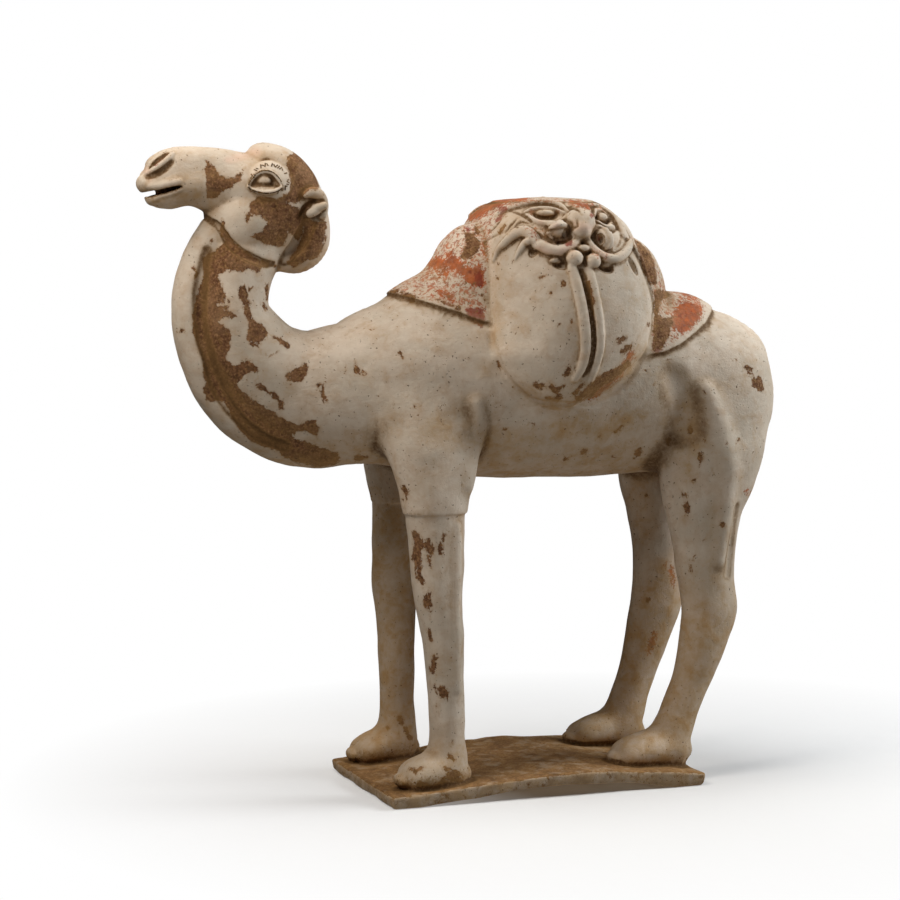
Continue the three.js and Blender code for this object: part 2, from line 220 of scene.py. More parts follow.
def bent_limb(stations, square=2.0, middle=0.0):
    """A limb whose spine bends only in the upright plane y = middle."""
    path = smooth_path(stations)
    spine = path[:, [0, 2]]
    sizes = path[:, 3:5]

    def distance(x, y, z):
        flat_x = x[:, :, 0]
        flat_z = z[0, :, :]
        shape = (x.shape[0], z.shape[2])
        closest = np.full(shape, 1e9, np.float32)
        deep = np.ones(shape, np.float32)
        wide = np.ones(shape, np.float32)
        for i in range(len(spine) - 1):
            a = spine[i]
            step = spine[i + 1] - a
            dx, dz = flat_x - a[0], flat_z - a[1]
            t = np.clip((dx * step[0] + dz * step[1]) / max(step @ step, 1e-9), 0, 1)
            reach = (dx - t * step[0]) ** 2 + (dz - t * step[1]) ** 2
            nearer = reach < closest
            closest = np.where(nearer, reach, closest)
            deep = np.where(nearer, sizes[i, 0] + (sizes[i + 1, 0] - sizes[i, 0]) * t, deep)
            wide = np.where(nearer, sizes[i, 1] + (sizes[i + 1, 1] - sizes[i, 1]) * t, wide)
        u = (np.sqrt(closest) / deep)[:, None, :]
        v = np.abs(y - middle) / wide[:, None, :]
        near = (u**square + v**square) ** (1 / square)
        steep = np.sqrt((u / deep[:, None, :]) ** 2 + (v / wide[:, None, :]) ** 2) + 1e-9
        return near * (near - 1) / steep

    reach = path[:, 3:5].max() + 1
    low = [path[:, 0].min() - reach, middle - path[:, 4].max(), path[:, 2].min() - reach]
    high = [path[:, 0].max() + reach, middle + path[:, 4].max(), path[:, 2].max() + reach]
    return Form(low, high, distance)


def level_limb(stations, square=2.0):
    """A form given by level sections, from its stations' x, y, z and half sizes in x and y."""
    path = smooth_path(stations)
    path = path[np.argsort(path[:, 2])]
    height = path[:, 2]

    def distance(x, y, z):
        line = z[0, 0, :]
        u, v, deep, wide = (np.interp(line, height, path[:, i])[None, None, :] for i in (0, 1, 3, 4))
        lean = np.sqrt(1 + np.gradient(u[0, 0, :], line) ** 2)[None, None, :]
        deep = deep * lean
        past = (np.maximum(height[0] - line, 0) + np.maximum(line - height[-1], 0))[None, None, :]
        a = np.abs(x - u) / deep
        b = np.abs(y - v) / wide
        c = past / np.minimum(np.minimum(deep, wide), 2.0)
        near = (a**square + b**square + c**square) ** (1 / square)
        slope_x, slope_y, slope_z = np.gradient(near, float(line[1] - line[0]))
        level = np.sqrt(slope_x**2 + slope_y**2)
        # Where the sections shrink fast, far points would seem near.
        upright = np.minimum(np.abs(slope_z) / np.maximum(near, 1), 6 * level + 0.02)
        steep = np.sqrt(level**2 + upright**2) + 1e-6
        return np.clip((near - 1) / steep, -AWAY, AWAY)

    low = [(path[:, 0] - path[:, 3]).min() - 8, (path[:, 1] - path[:, 4]).min(), height[0] - 2]
    high = [(path[:, 0] + path[:, 3]).max() + 8, (path[:, 1] + path[:, 4]).max(), height[-1] + 2]
    return Form(low, high, distance)


def slab_form(edge):
    """The arched slab, with its edges rounded by edge."""
    middle = (SLAB["front"] + SLAB["rear"]) / 2
    half_long = (SLAB["rear"] - SLAB["front"]) / 2

    def rise(share):
        return SLAB["rise"] * np.sin(np.pi * np.clip(share, 0, 1) ** SLAB["skew"])

    def distance(x, y, z):
        share = (x - SLAB["front"]) / (2 * half_long)
        flat = SLAB["flat_end"]
        top = SLAB["thick"] + rise(share)
        bottom = rise((share - flat) / (1 - 2 * flat))
        height = np.clip((z - bottom) / (top - bottom), 0, 1)
        inset = SLAB["cut_back"] * (1 - height)
        a = np.abs(x - middle) - half_long + inset + edge
        b = np.abs(y) - SLAB["width"] / 2 + inset + edge
        c = np.abs(z - (top + bottom) / 2) - (top - bottom) / 2 + edge
        outside = np.sqrt(np.maximum(a, 0) ** 2 + np.maximum(b, 0) ** 2 + np.maximum(c, 0) ** 2)
        return outside + np.minimum(np.maximum(np.maximum(a, b), c), 0) - edge

    high = [SLAB["rear"], SLAB["width"] / 2, SLAB["thick"] + SLAB["rise"]]
    return Form([SLAB["front"], -SLAB["width"] / 2, 0], high, distance)


class Clay:
    """A block of space around the figure that holds, at each grid point, the distance to the clay's
    surface in mm, below 0 inside."""

    def __init__(self, step, low, high):
        self.step = step
        self.low = np.asarray(low, float)
        self.count = np.ceil((np.asarray(high) - self.low) / step).astype(int) + 1
        self.lines = [(self.low[i] + step * np.arange(self.count[i])).astype(np.float32) for i in range(3)]
        self.field = np.full(self.count, AWAY, np.float32)

    def window(self, form, margin):
        """The part of the grid that a form reaches, and its coordinates."""
        first = np.floor((form.low - margin - self.low) / self.step).astype(int)
        last = np.ceil((form.high + margin - self.low) / self.step).astype(int) + 1
        spans = tuple(slice(max(a, 0), min(b, n)) for a, b, n in zip(first, last, self.count))
        x = self.lines[0][spans[0]][:, None, None]
        y = self.lines[1][spans[1]][None, :, None]
        z = self.lines[2][spans[2]][None, None, :]
        return spans, x, y, z

    def lay_on(self, form, blend):
        """Adds a form, smoothed in over about blend mm."""
        spans, x, y, z = self.window(form, blend + 3 * self.step)
        old = self.field[spans]
        new = form.distance(x, y, z)
        h = np.clip(0.5 + 0.5 * (new - old) / blend, 0, 1)
        self.field[spans] = new + (old - new) * h - blend * h * (1 - h)

    def press_out(self, form, blend):
        """Takes a form away, its edges softened over about blend mm."""
        spans, x, y, z = self.window(form, blend + 3 * self.step)
        old = self.field[spans]
        new = -form.distance(x, y, z)
        h = np.clip(0.5 - 0.5 * (new - old) / blend, 0, 1)
        self.field[spans] = new + (old - new) * h + blend * h * (1 - h)

    def reading(self, points):
        """The distance at any points, between the grid's own."""
        place = (np.asarray(points, float) - self.low) / self.step
        base = np.clip(np.floor(place).astype(int), 0, self.count - 2)
        part = np.clip(place - base, 0, 1)
        total = 0.0
        for corner in np.ndindex(2, 2, 2):
            share = np.prod([part[:, i] if corner[i] else 1 - part[:, i] for i in range(3)], axis=0)
            total = total + share * self.field[tuple((base + corner).T)]
        return total

    def climb(self, points):
        """How the distance grows along x, y and z at any points."""
        points = np.asarray(points, float)
        sides = np.eye(3) * self.step
        climb = [self.reading(points + s) - self.reading(points - s) for s in sides]
        return np.stack(climb, axis=1) / (2 * self.step)

    def slope(self, points):
        """The direction straight out of the clay at any points."""
        climb = self.climb(points)
        return climb / np.maximum(np.linalg.norm(climb, axis=1, keepdims=True), 1e-9)

    def settle(self, points):
        """The points moved on to the surface of the clay."""
        for _ in range(2):
            climb = self.climb(points)
            square = np.maximum((climb**2).sum(1), 0.3)
            move = climb * (self.reading(points) / square)[:, None]
            points = points - np.clip(move, -0.5 * self.step, 0.5 * self.step)
        return points

    def skin(self, x, z, side):
        """The outermost point of the clay at this x and z, seen from one side."""
        line = self.lines[1] if side < 0 else self.lines[1][::-1]
        column = self.reading(np.column_stack([np.full(len(line), x), line, np.full(len(line), z)]))
        inside = np.flatnonzero(column < 0)
        if not len(inside):
            nearest = int(np.argmin(column))
            if column[nearest] > 5:
                raise RuntimeError(f"there is no clay to the side at x {x}, z {z}")
            return np.array([x, line[nearest], z])
        i = inside[0]
        t = column[i - 1] / (column[i - 1] - column[i])
        return np.array([x, line[i - 1] + (line[i] - line[i - 1]) * t, z])

    def on_skin(self, marks, side, lift=0.0, fine=4):
        """A smooth path over the clay from marks [x, z, radius], lifted by lift times the radius.
        Gives its points, radii and the directions out of the clay."""
        path = smooth_path(marks, fine) if len(marks) > 1 else np.asarray(marks, float)
        points = np.array([self.skin(x, z, side) for x, z in path[:, :2]])
        normals = self.slope(points)
        return points + normals * (path[:, 2:3] * lift), path[:, 2], normals


def coil(clay, marks, side, lift=0.3, flat=1.0):
    """A coil laid over the clay."""
    points, radii, normals = clay.on_skin(marks, side, lift)
    return roll(points, radii, normals, flat)


def pad(clay, x, z, half, side, lift=0.0, tilt=0.0):
    """A lump pressed on to the clay: its half sizes along, up and out of the skin, and its tilt in
    degrees."""
    point = clay.skin(x, z, side)
    out = clay.slope([point])[0]
    along = np.cross([0, 0, 1], out)
    along = along / np.linalg.norm(along) * (-side)
    up = np.cross(out, along) * (-side)
    up = up if up[2] > 0 else -up
    angle = math.radians(tilt)
    turned = along * math.cos(angle) + up * math.sin(angle)
    upright = up * math.cos(angle) - along * math.sin(angle)
    return egg(point + out * lift, [half[0], half[1], half[2]], [turned, upright, out])


def unevenness(clay, grain, height, seed):
    """Soft lumps of a hand-worked surface: about grain mm apart and height mm high."""
    knots = [np.arange(0, n * clay.step + 4 * grain, grain) for n in clay.count]
    values = np.random.default_rng(seed).uniform(-1, 1, [len(k) for k in knots])
    for axis, line in enumerate(clay.lines):
        place = (line - clay.low[axis]) / grain + 1.5
        base = np.floor(place).astype(int)
        t = place - base
        weights = np.zeros((len(line), len(knots[axis])), np.float32)
        shares = [(1 - t) ** 3 / 6, (3 * t**3 - 6 * t**2 + 4) / 6, (3 * t * (1 + t - t * t) + 1) / 6, t**3 / 6]
        for i, share in enumerate(shares):
            weights[np.arange(len(line)), np.clip(base - 1 + i, 0, len(knots[axis]) - 1)] += share
        values = np.moveaxis(np.tensordot(weights, values.astype(np.float32), (1, axis)), 0, axis)
    # Averaging the lattice this way keeps about a quarter of its range.
    clay.field += values * (height * 4)


HUMPS = [
    [[1, 0, 314.5], [31, 34, 47], 7], [[103, 0, 312], [27, 33, 42], 7], [[-19, 0, 299], [41, 30, 30.5], 14],
    [[141, 0, 295.6], [28, 30, 20.5], 5],
]
# The lower edge of the cloth, from breast to rump: [x, z].
CLOTH_EDGE = np.array([
    [-80, 420], [-74, 334], [-66, 322], [-57.3, 316.8], [-46.9, 313.3], [-35.7, 309.6], [-23.9, 305.2], [-12.1, 300.9],
    [40, 286], [98, 277], [111.2, 278.7], [126.1, 284.8], [139.7, 292.3], [150.7, 298.6], [161.4, 305.5],
    [168, 312], [176, 324], [184, 420],
])
CLOTH_PROUD = 1.7


def lay_blanket(clay):
    """The cloth follows the back under it, and ends along its edge on both flanks."""
    border = np.interp(clay.lines[0], CLOTH_EDGE[:, 0], CLOTH_EDGE[:, 1])[:, None, None]
    edge = (border - clay.lines[2][None, None, :]) * 0.9
    cloth = clay.field - CLOTH_PROUD
    soft = 2.0
    h = np.clip(0.5 - 0.5 * (edge - cloth) / soft, 0, 1)
    cloth = edge + (cloth - edge) * h + soft * h * (1 - h)
    clay.field = np.minimum(clay.field, cloth.astype(np.float32))


def lay_body(clay):
    """The hollow body with its neck, humps, legs and feet, and the blanket over its back."""
    clay.lay_on(bent_limb(BODY), 1)
    clay.lay_on(bent_limb(NECK_RIDGE), 2.5)
    for at, half, blend in HUMPS:
        clay.lay_on(egg(np.array(at, float), half), blend)
    for stations, (x, y, z, longer) in zip(LEGS, ANKLES):
        clay.lay_on(level_limb(stations), 14)
        foot = [[x + fx * longer, y, z + fz, deep, wide] for fx, fz, deep, wide in FOOT]
        clay.lay_on(bent_limb(foot, middle=y), 5)
    lay_blanket(clay)


# Muscles, sinews and folds, as coils on the near side: [x, z, radius]. The far legs stand a little apart
# from where the near ones do.
NECK_GROOVE = [
    [-179, 344.8, 0.8], [-182, 333.9, 1.4], [-184.6, 314, 2.0], [-183.2, 293, 2.4], [-179.6, 277.7, 2.6],
    [-174.8, 262.3, 2.6], [-167.5, 249.8, 2.4], [-156.5, 237.2, 2.2], [-145.7, 229.4, 1.6], [-131, 223, 1.0],
]
THIGH_RIDGE = [[142, 256, 2], [150, 234, 4], [155, 208, 4.6], [155.5, 186, 4], [154, 162, 2.4], [153, 144, 0.5]]
SINEW_GROOVE = [[164.5, 178, 0.4], [163.4, 164, 1.1], [162.3, 150, 1.2], [161, 134, 0.5]]
SHANK_RIDGE = [[-31, 174, 1.8], [-31.8, 150, 2.6], [-31.8, 110, 2.4], [-31, 72, 1.2]]
ELBOW_RIDGE = [[-17, 249, 2.4], [-14.5, 234, 3.6], [-18, 216, 3.4], [-23, 199, 1.6]]
FLANK_HOLLOW = [[118, 262, 5], [124, 246, 7], [128, 230, 6]]
FAR_SHIFT = {"fore": 3, "hind": -4}


def shifted(marks, along):
    """Marks moved along by some mm."""
    return [[x + along, *rest] for x, *rest in marks]


def lay_relief(clay, side):
    """What the potter's thumb left on neck, shoulder, thigh and shank."""
    fore = FAR_SHIFT["fore"] if side == FAR_SIDE else 0
    hind = FAR_SHIFT["hind"] if side == FAR_SIDE else 0
    clay.press_out(coil(clay, NECK_GROOVE, side, lift=0.15), 5)
    clay.lay_on(coil(clay, shifted(ELBOW_RIDGE, fore), side, lift=-0.6), 9)
    clay.lay_on(coil(clay, shifted(SHANK_RIDGE, fore), side, lift=-0.3), 5)
    clay.press_out(coil(clay, shifted(FLANK_HOLLOW, hind), side, lift=0.72), 12)
    clay.lay_on(coil(clay, shifted(THIGH_RIDGE, hind), side, lift=-0.7), 11)
    clay.press_out(coil(clay, shifted(SINEW_GROOVE, hind), side, lift=0.8), 5)


def lay_head(clay):
    """The skull, muzzle and jaw, the round cheeks and the roll of hair."""
    clay.lay_on(egg(np.array([-138.0, 0, 371]), [32, 25, 34.5]), 3)
    clay.lay_on(egg(np.array([-150.0, 0, 383]), [24, 22, 17]), 5)
    clay.lay_on(bent_limb(MUZZLE, 2.2), 6)
    clay.lay_on(bent_limb(MUZZLE_SIDE, 2.2), 6)
    clay.lay_on(bent_limb(JAW, 2.2), 4)
    clay.lay_on(egg(np.array([-150.0, 0, 362]), [27, 27, 25.5]), 1.5)
    clay.lay_on(bent_limb(HAIR_ROLL), 2)


EYE_PAD = {"at": [-141.2, 388], "half": [13.8, 13.2], "proud": 6.4}
UPPER_LID = [[-155, 383.6, 0.8], [-151.8, 389, 1.1], [-146.7, 392.4, 1.2], [-141, 391.6, 1.3],
             [-137.2, 387.6, 1.3], [-135.4, 383.2, 0.9]]
LOWER_LID = [[-155, 383.6, 0.8], [-152.2, 381.6, 1.2], [-146.8, 380, 1.5], [-140.5, 380.6, 1.5],
             [-135.4, 383.2, 0.9]]
EYE_SLOT = [[-152.8, 384.2, 1.2], [-149.6, 386.6, 3.0], [-145.4, 387.2, 3.9], [-141, 386.6, 3.5],
            [-137.8, 384.6, 1.5]]
EYEBALL = {"at": [-145.2, 386.8], "half": [5.2, 3.4, 4.3], "iris": [-143.9, 387.0], "iris_half": [2.3, 1.6, 2.2]}
NOSTRIL = [[-213, 394.4, 1.0], [-209.6, 397.6, 1.9], [-205.6, 400.8, 2.0], [-202.4, 403.2, 1.1]]
NOSTRIL_RIM = [[-214.6, 390.8, 1.2], [-210.4, 393.6, 1.9], [-205.6, 397, 2.0], [-201.4, 400.8, 1.7],
               [-199, 403.4, 1.0]]
NOSTRIL_FOLD = [[-214.4, 388.6, 0.9], [-209.4, 390.6, 1.4], [-204.6, 393.8, 1.5], [-200.2, 398, 1.1]]
MOUTH = [[-220, 378.0, 1.2], [-214.6, 378.6, 1.3], [-209, 379.7, 1.9], [-204.6, 380.8, 2.2], [-199.7, 382, 1.8],
         [-195.6, 383.1, 0.7]]
MOUTH_SPREAD = {"middle": 13, "half": 9.5, "front_half": 6}
LOWER_LIP = [[-209.5, 375.6, 1.3], [-208, 377, 1.3], [-202, 378.8, 1.3], [-196, 381.2, 0.8]]
UPPER_LIP = [[-213.5, 383.2, 1.4], [-208, 383.6, 1.7], [-201, 385.4, 1.4], [-196, 386.6, 0.8]]
CHEEK_EDGE = [[-178.5, 366.5, 0.8], [-175.4, 362.3, 1.6], [-172.9, 359.9, 2.0], [-168.5, 352.3, 2.4],
              [-163.4, 345.8, 2.6], [-155.6, 340.6, 2.6], [-145.3, 336.8, 2.2], [-137.7, 336.4, 1.2]]
EAR_VALLEY = [[-129.5, 337.5, 2.2], [-124.6, 345.8, 3.8], [-120.2, 353.4, 4.6], [-116, 360.6, 4.0]]
EAR_BODY = [[-118.8, 378.8, 2.2], [-114.8, 380, 3.6], [-110.8, 377.8, 4.2], [-108.2, 372.6, 3.8],
            [-108, 366.6, 3.0]]
EAR_HOLLOW = [[-112.8, 375.4, 1.2], [-116.2, 372.8, 1.9], [-119.6, 369.4, 2.1], [-122, 365.8, 1.3]]
EAR_LOBE = [[-107.8, 372.6, 2.4], [-111.6, 370.2, 3.1], [-115.8, 367.6, 2.7]]


def press_mouth(clay):
    """The open mouth, a long slot from the front of the lips back into each cheek."""
    spread = MOUTH_SPREAD
    slot = [[x, 0, z, radius, spread["half"]] for x, z, radius in MOUTH]
    for side in (NEAR, FAR_SIDE):
        clay.press_out(bent_limb(slot, 4.0, side * spread["middle"]), 0.7)
    front = [[x, 0, z, radius, spread["front_half"]] for x, z, radius in MOUTH[:3]]
    clay.press_out(bent_limb(front, 4.0), 0.7)


def lay_face(clay, side):
    """One side of the face: cheek, eye, nostril, lips and ear."""
    clay.press_out(coil(clay, CHEEK_EDGE, side, lift=0.1), 1.6)
    clay.press_out(coil(clay, EAR_VALLEY, side, lift=0.2), 2.5)
    clay.lay_on(pad(clay, *EYE_PAD["at"], [*EYE_PAD["half"], EYE_PAD["proud"]], side, lift=-2.2), 1.1)
    rim = clay.skin(-144.6, 394.6, side)
    clay.press_out(coil(clay, EYE_SLOT, side, lift=0.1), 0.8)
    x, z = EYEBALL["at"]
    clay.lay_on(egg(np.array([x, rim[1] - side * 0.4, z]), EYEBALL["half"]), 0.5)
    x, z = EYEBALL["iris"]
    clay.lay_on(egg(np.array([x, rim[1] + side * 2.0, z]), EYEBALL["iris_half"]), 0.8)
    clay.lay_on(coil(clay, UPPER_LID, side, lift=0.3), 0.7)
    clay.lay_on(coil(clay, LOWER_LID, side, lift=0.3), 0.7)
    clay.lay_on(coil(clay, UPPER_LIP, side, lift=-0.3), 3)
    clay.lay_on(coil(clay, LOWER_LIP, side, lift=-0.1), 1.5)
    rim = coil(clay, NOSTRIL_RIM, side, lift=0.1)
    slit = coil(clay, NOSTRIL, side, lift=-0.2)
    fold = coil(clay, NOSTRIL_FOLD, side, lift=0.3)
    clay.lay_on(rim, 1.6)
    clay.press_out(slit, 0.8)
    clay.press_out(fold, 1.4)
    clay.lay_on(coil(clay, EAR_BODY, side, lift=0.45), 1.2)
    clay.press_out(coil(clay, EAR_HOLLOW, side, lift=0.1), 0.8)
    clay.lay_on(coil(clay, EAR_LOBE, side, lift=0.75), 0.8)


# The mask on each bag. Coils are [x, z, radius]; lumps are [x, z, half along, half up, half out, lift, tilt].
MASK_SOCKETS = [[31.6, 367.7, 10.4, 5.0, 4.6, 0.5, 0], [69.4, 364.6, 7.4, 5.6, 4.4, 0.5, -20]]
MASK_NOSE = [
    [55.0, 370.4, 6.6, 5.6, 4.0, 0.4, 0],
    [49.8, 361.0, 9.6, 10.0, 9.2, 1.6, 0],
    [48.2, 355.4, 6.8, 6.2, 8.6, 1.2, 0],
]
MASK_LUMPS = [[33.6, 356.6, 5.8, 5.2, 5.2, 1.2, 0], [62.0, 351.6, 5.2, 7.0, 4.6, 0.6, 10]]
MASK_EYES = [[31.8, 368.0, 6.8, 2.5, 3.6, 0.6, 0], [69.2, 365.4, 4.4, 3.4, 3.4, 0.6, 0]]
MASK_TEETH = [
    [40.9, 339.4, 5.6, 5.2, 4.4, 1.4, 0], [52.8, 337.6, 4.9, 4.9, 4.2, 1.4, 0],
    [29.8, 338.6, 4.4, 2.2, 2.4, 0.5, 0], [47.8, 345.2, 4.6, 2.8, 3.2, 1.0, 0],
    [62.2, 336.2, 4.0, 2.0, 2.2, 0.5, 0],
]
MASK_RECESSES = [
    [33.0, 337.0, 5.6, 4.0, 3.4, 0.0, 0], [61.0, 334.6, 5.6, 4.0, 3.2, 0.0, -20],
    [18.6, 345.6, 2.8, 5.2, 3.4, 0.0, -20], [83.0, 335.4, 2.6, 6.4, 3.4, 0.0, 15],
    [35.2, 350.0, 4.0, 1.9, 4.0, 1.0, 0],
]
MASK_HOLES = [[37.6, 355.4, 2.2, 2.4, 5.6, 1.4, 0], [59.4, 352.0, 2.4, 3.7, 6.0, 1.2, 8]]
MASK_FOLDS = [
    [[8.0, 367.6, 1.2], [16, 371.8, 2.0], [26, 374.2, 2.4], [35, 374.4, 2.4], [42, 372.6, 2.2],
     [45.6, 367.8, 1.4]],
    [[19.5, 368.8, 0.9], [24, 370.6, 1.2], [31, 371.2, 1.3], [38, 370.4, 1.2], [43.0, 367.8, 1.0]],
    [[19.5, 367.2, 0.9], [22.6, 363.2, 1.5], [27.5, 361.2, 1.8], [33.5, 361.2, 1.8], [39.5, 363.4, 1.7],
     [43.5, 366.6, 1.2]],
    [[62, 372.6, 1.6], [68, 372.4, 2.2], [75, 368.8, 2.2], [79.6, 362, 2.2], [80.6, 353, 1.6]],
    [[63, 366.8, 1.0], [65.8, 370, 1.3], [70.6, 370, 1.4], [74.6, 367, 1.2]],
    [[63, 363.0, 1.0], [66.4, 360.0, 1.4], [71.4, 359.6, 1.5], [75.4, 362.0, 1.2]],
]
MASK_LIPS = [
    [[0.1, 338.6, 0.9], [2.7, 345.1, 2.0], [5.9, 349.4, 2.8], [9.4, 353.3, 3.4], [12.8, 355.6, 3.8],
     [16.0, 355.8, 4.0], [18.8, 352.8, 3.9], [21.5, 348.6, 3.8], [26.2, 345.2, 3.8], [31.0, 344.0, 3.8],
     [36.4, 344.8, 3.7], [41.3, 347.4, 3.4], [45.0, 350.6, 2.8], [47.2, 353.4, 2.0]],
    [[51.1, 352.5, 1.8], [52.4, 349.4, 2.4], [54.2, 345.7, 2.9], [57.6, 342.0, 3.2], [61.9, 339.8, 3.3],
     [67.8, 339.2, 3.3], [73.5, 341.0, 3.2], [79.6, 344.8, 2.9], [84.6, 350.2, 2.2]],
    [[85.4, 348.4, 2.0], [90.0, 340.2, 2.0], [93.2, 332.6, 1.9], [97.4, 323.6, 1.7], [102.0, 313.4, 1.5],
     [105, 302.0, 1.0]],
    [[29.4, 352.4, 1.4], [28.0, 356.8, 1.8], [31.2, 360.4, 1.9], [36.2, 360.4, 1.9], [40.6, 357.8, 1.6]],
    [[57.0, 357.4, 1.6], [61.6, 359.2, 1.9], [65.6, 355.4, 2.1], [66.0, 349.0, 2.0], [62.8, 344.8, 1.6]],
]
MASK_FANG = [[15.4, 350.6, 2.4], [12.4, 346.0, 2.3], [10.2, 342.2, 1.6], [8.4, 338.9, 0.6]]
MASK_GROOVES = [
    [[71.6, 372.0, 0.6], [76.6, 366.2, 1.1], [77.2, 358.0, 0.7]],
    [[66.6, 357.4, 0.7], [71.4, 356.6, 1.1], [77.2, 358.6, 0.7]],
    [[80.4, 368.6, 0.6], [83.2, 362.0, 1.1], [82.4, 354.0, 0.7]],
    [[1.6, 356.0, 0.6], [5.0, 361.4, 0.9], [9.0, 366.6, 0.5]],
    [[5.6, 354.8, 0.6], [9.4, 360.2, 0.9], [13.6, 364.8, 0.5]],
    [[10.6, 358.8, 0.5], [15.0, 362.6, 0.8], [20.6, 360.6, 0.5]],
    [[22.0, 355.6, 0.5], [26.4, 351.6, 0.8], [30.6, 350.0, 0.5]],
    [[26.0, 373.0, 0.4], [32.0, 373.4, 0.6], [38.0, 372.6, 0.4]],
    [[13.0, 370.2, 0.5], [17.4, 366.8, 0.9], [20.2, 362.6, 0.6]], [[44.6, 364.4, 0.5], [43.6, 360.0, 0.9], [40.2, 357.4, 0.5]],
    [[22.6, 358.6, 0.5], [28.0, 357.2, 0.8], [31.8, 359.2, 0.4]], [[70.4, 345.6, 0.5], [75.6, 349.4, 0.9], [78.4, 354.6, 0.5]],
    [[86.0, 361.0, 0.5], [87.6, 353.6, 0.9], [86.8, 345.6, 0.5]], [[-1.6, 349.4, 0.4], [2.2, 353.8, 0.7], [6.2, 356.6, 0.4]],
    [[47.6, 366.8, 0.6], [46.0, 372.6, 0.9], [50.6, 376.8, 0.6]],
]
# Where the pack lies on the blanket and the body.
PACK_SEAM = [
    [-5.5, 292, 0.8], [-3.5, 276, 1.3], [2, 265.5, 1.6], [9, 258, 1.7], [18, 252, 1.7], [30, 249.6, 1.5],
    [44, 249, 1.3], [58, 250, 1.3], [70, 253.5, 1.3], [81, 260, 1.2], [90, 269, 1.0], [98, 282, 0.8],
]
BANDS = [
    [[38.6, 334.4, 3.0], [41.0, 320, 3.5], [43.6, 302, 3.7], [45.0, 286, 3.7], [43.6, 274, 3.3], [39.4, 265, 2.2]],
    [[49.7, 333.0, 2.3], [51.2, 320, 2.8], [53.4, 302, 3.1], [54.4, 286, 3.1], [52.8, 274, 2.7], [50.2, 263.6, 1.8]],
]
BAND_GROOVE = [[44.6, 333, 1.2], [46.4, 320, 1.6], [48.6, 302, 1.8], [50.0, 286, 1.8], [48.6, 275, 1.5], [45.4, 267, 0.8]]


def pads(clay, rows, side):
    """Lumps or hollows, all placed on the clay as it is now."""
    return [pad(clay, row[0], row[1], row[2:5], side, row[5], row[6]) for row in rows]


def lay_mask(clay, side):
    """The monster mask on one bag, from its sockets to the bands that hang from its teeth."""
    clay.press_out(coil(clay, PACK_SEAM, side, lift=0.5), 3)
    for form in pads(clay, MASK_SOCKETS, side):
        clay.press_out(form, 1.2)
    for form in pads(clay, MASK_LUMPS, side):
        clay.lay_on(form, 1.6)
    for form in pads(clay, MASK_EYES, side):
        clay.lay_on(form, 0.5)
    for form in [coil(clay, marks, side, lift=0.25) for marks in MASK_FOLDS]:
        clay.lay_on(form, 1.2)
    for form in pads(clay, MASK_RECESSES, side):
        clay.press_out(form, 1.2)
    for form in [coil(clay, marks, side, lift=0.2, flat=0.62) for marks in BANDS]:
        clay.lay_on(form, 1.4)
    clay.press_out(coil(clay, BAND_GROOVE, side, lift=0.1), 0.8)
    nose = pads(clay, MASK_NOSE, side)
    for form in pads(clay, MASK_TEETH, side):
        clay.lay_on(form, 0.8)
    for form in [coil(clay, marks, side, lift=0.25) for marks in MASK_LIPS]:
        clay.lay_on(form, 0.8)
    for form in nose:
        clay.lay_on(form, 2.2)
    clay.lay_on(coil(clay, MASK_FANG, side, lift=0.2), 0.8)
    for form in pads(clay, MASK_HOLES, side):
        clay.press_out(form, 0.7)
    for marks in MASK_GROOVES:
        clay.press_out(coil(clay, marks, side, lift=0.2), 0.6)


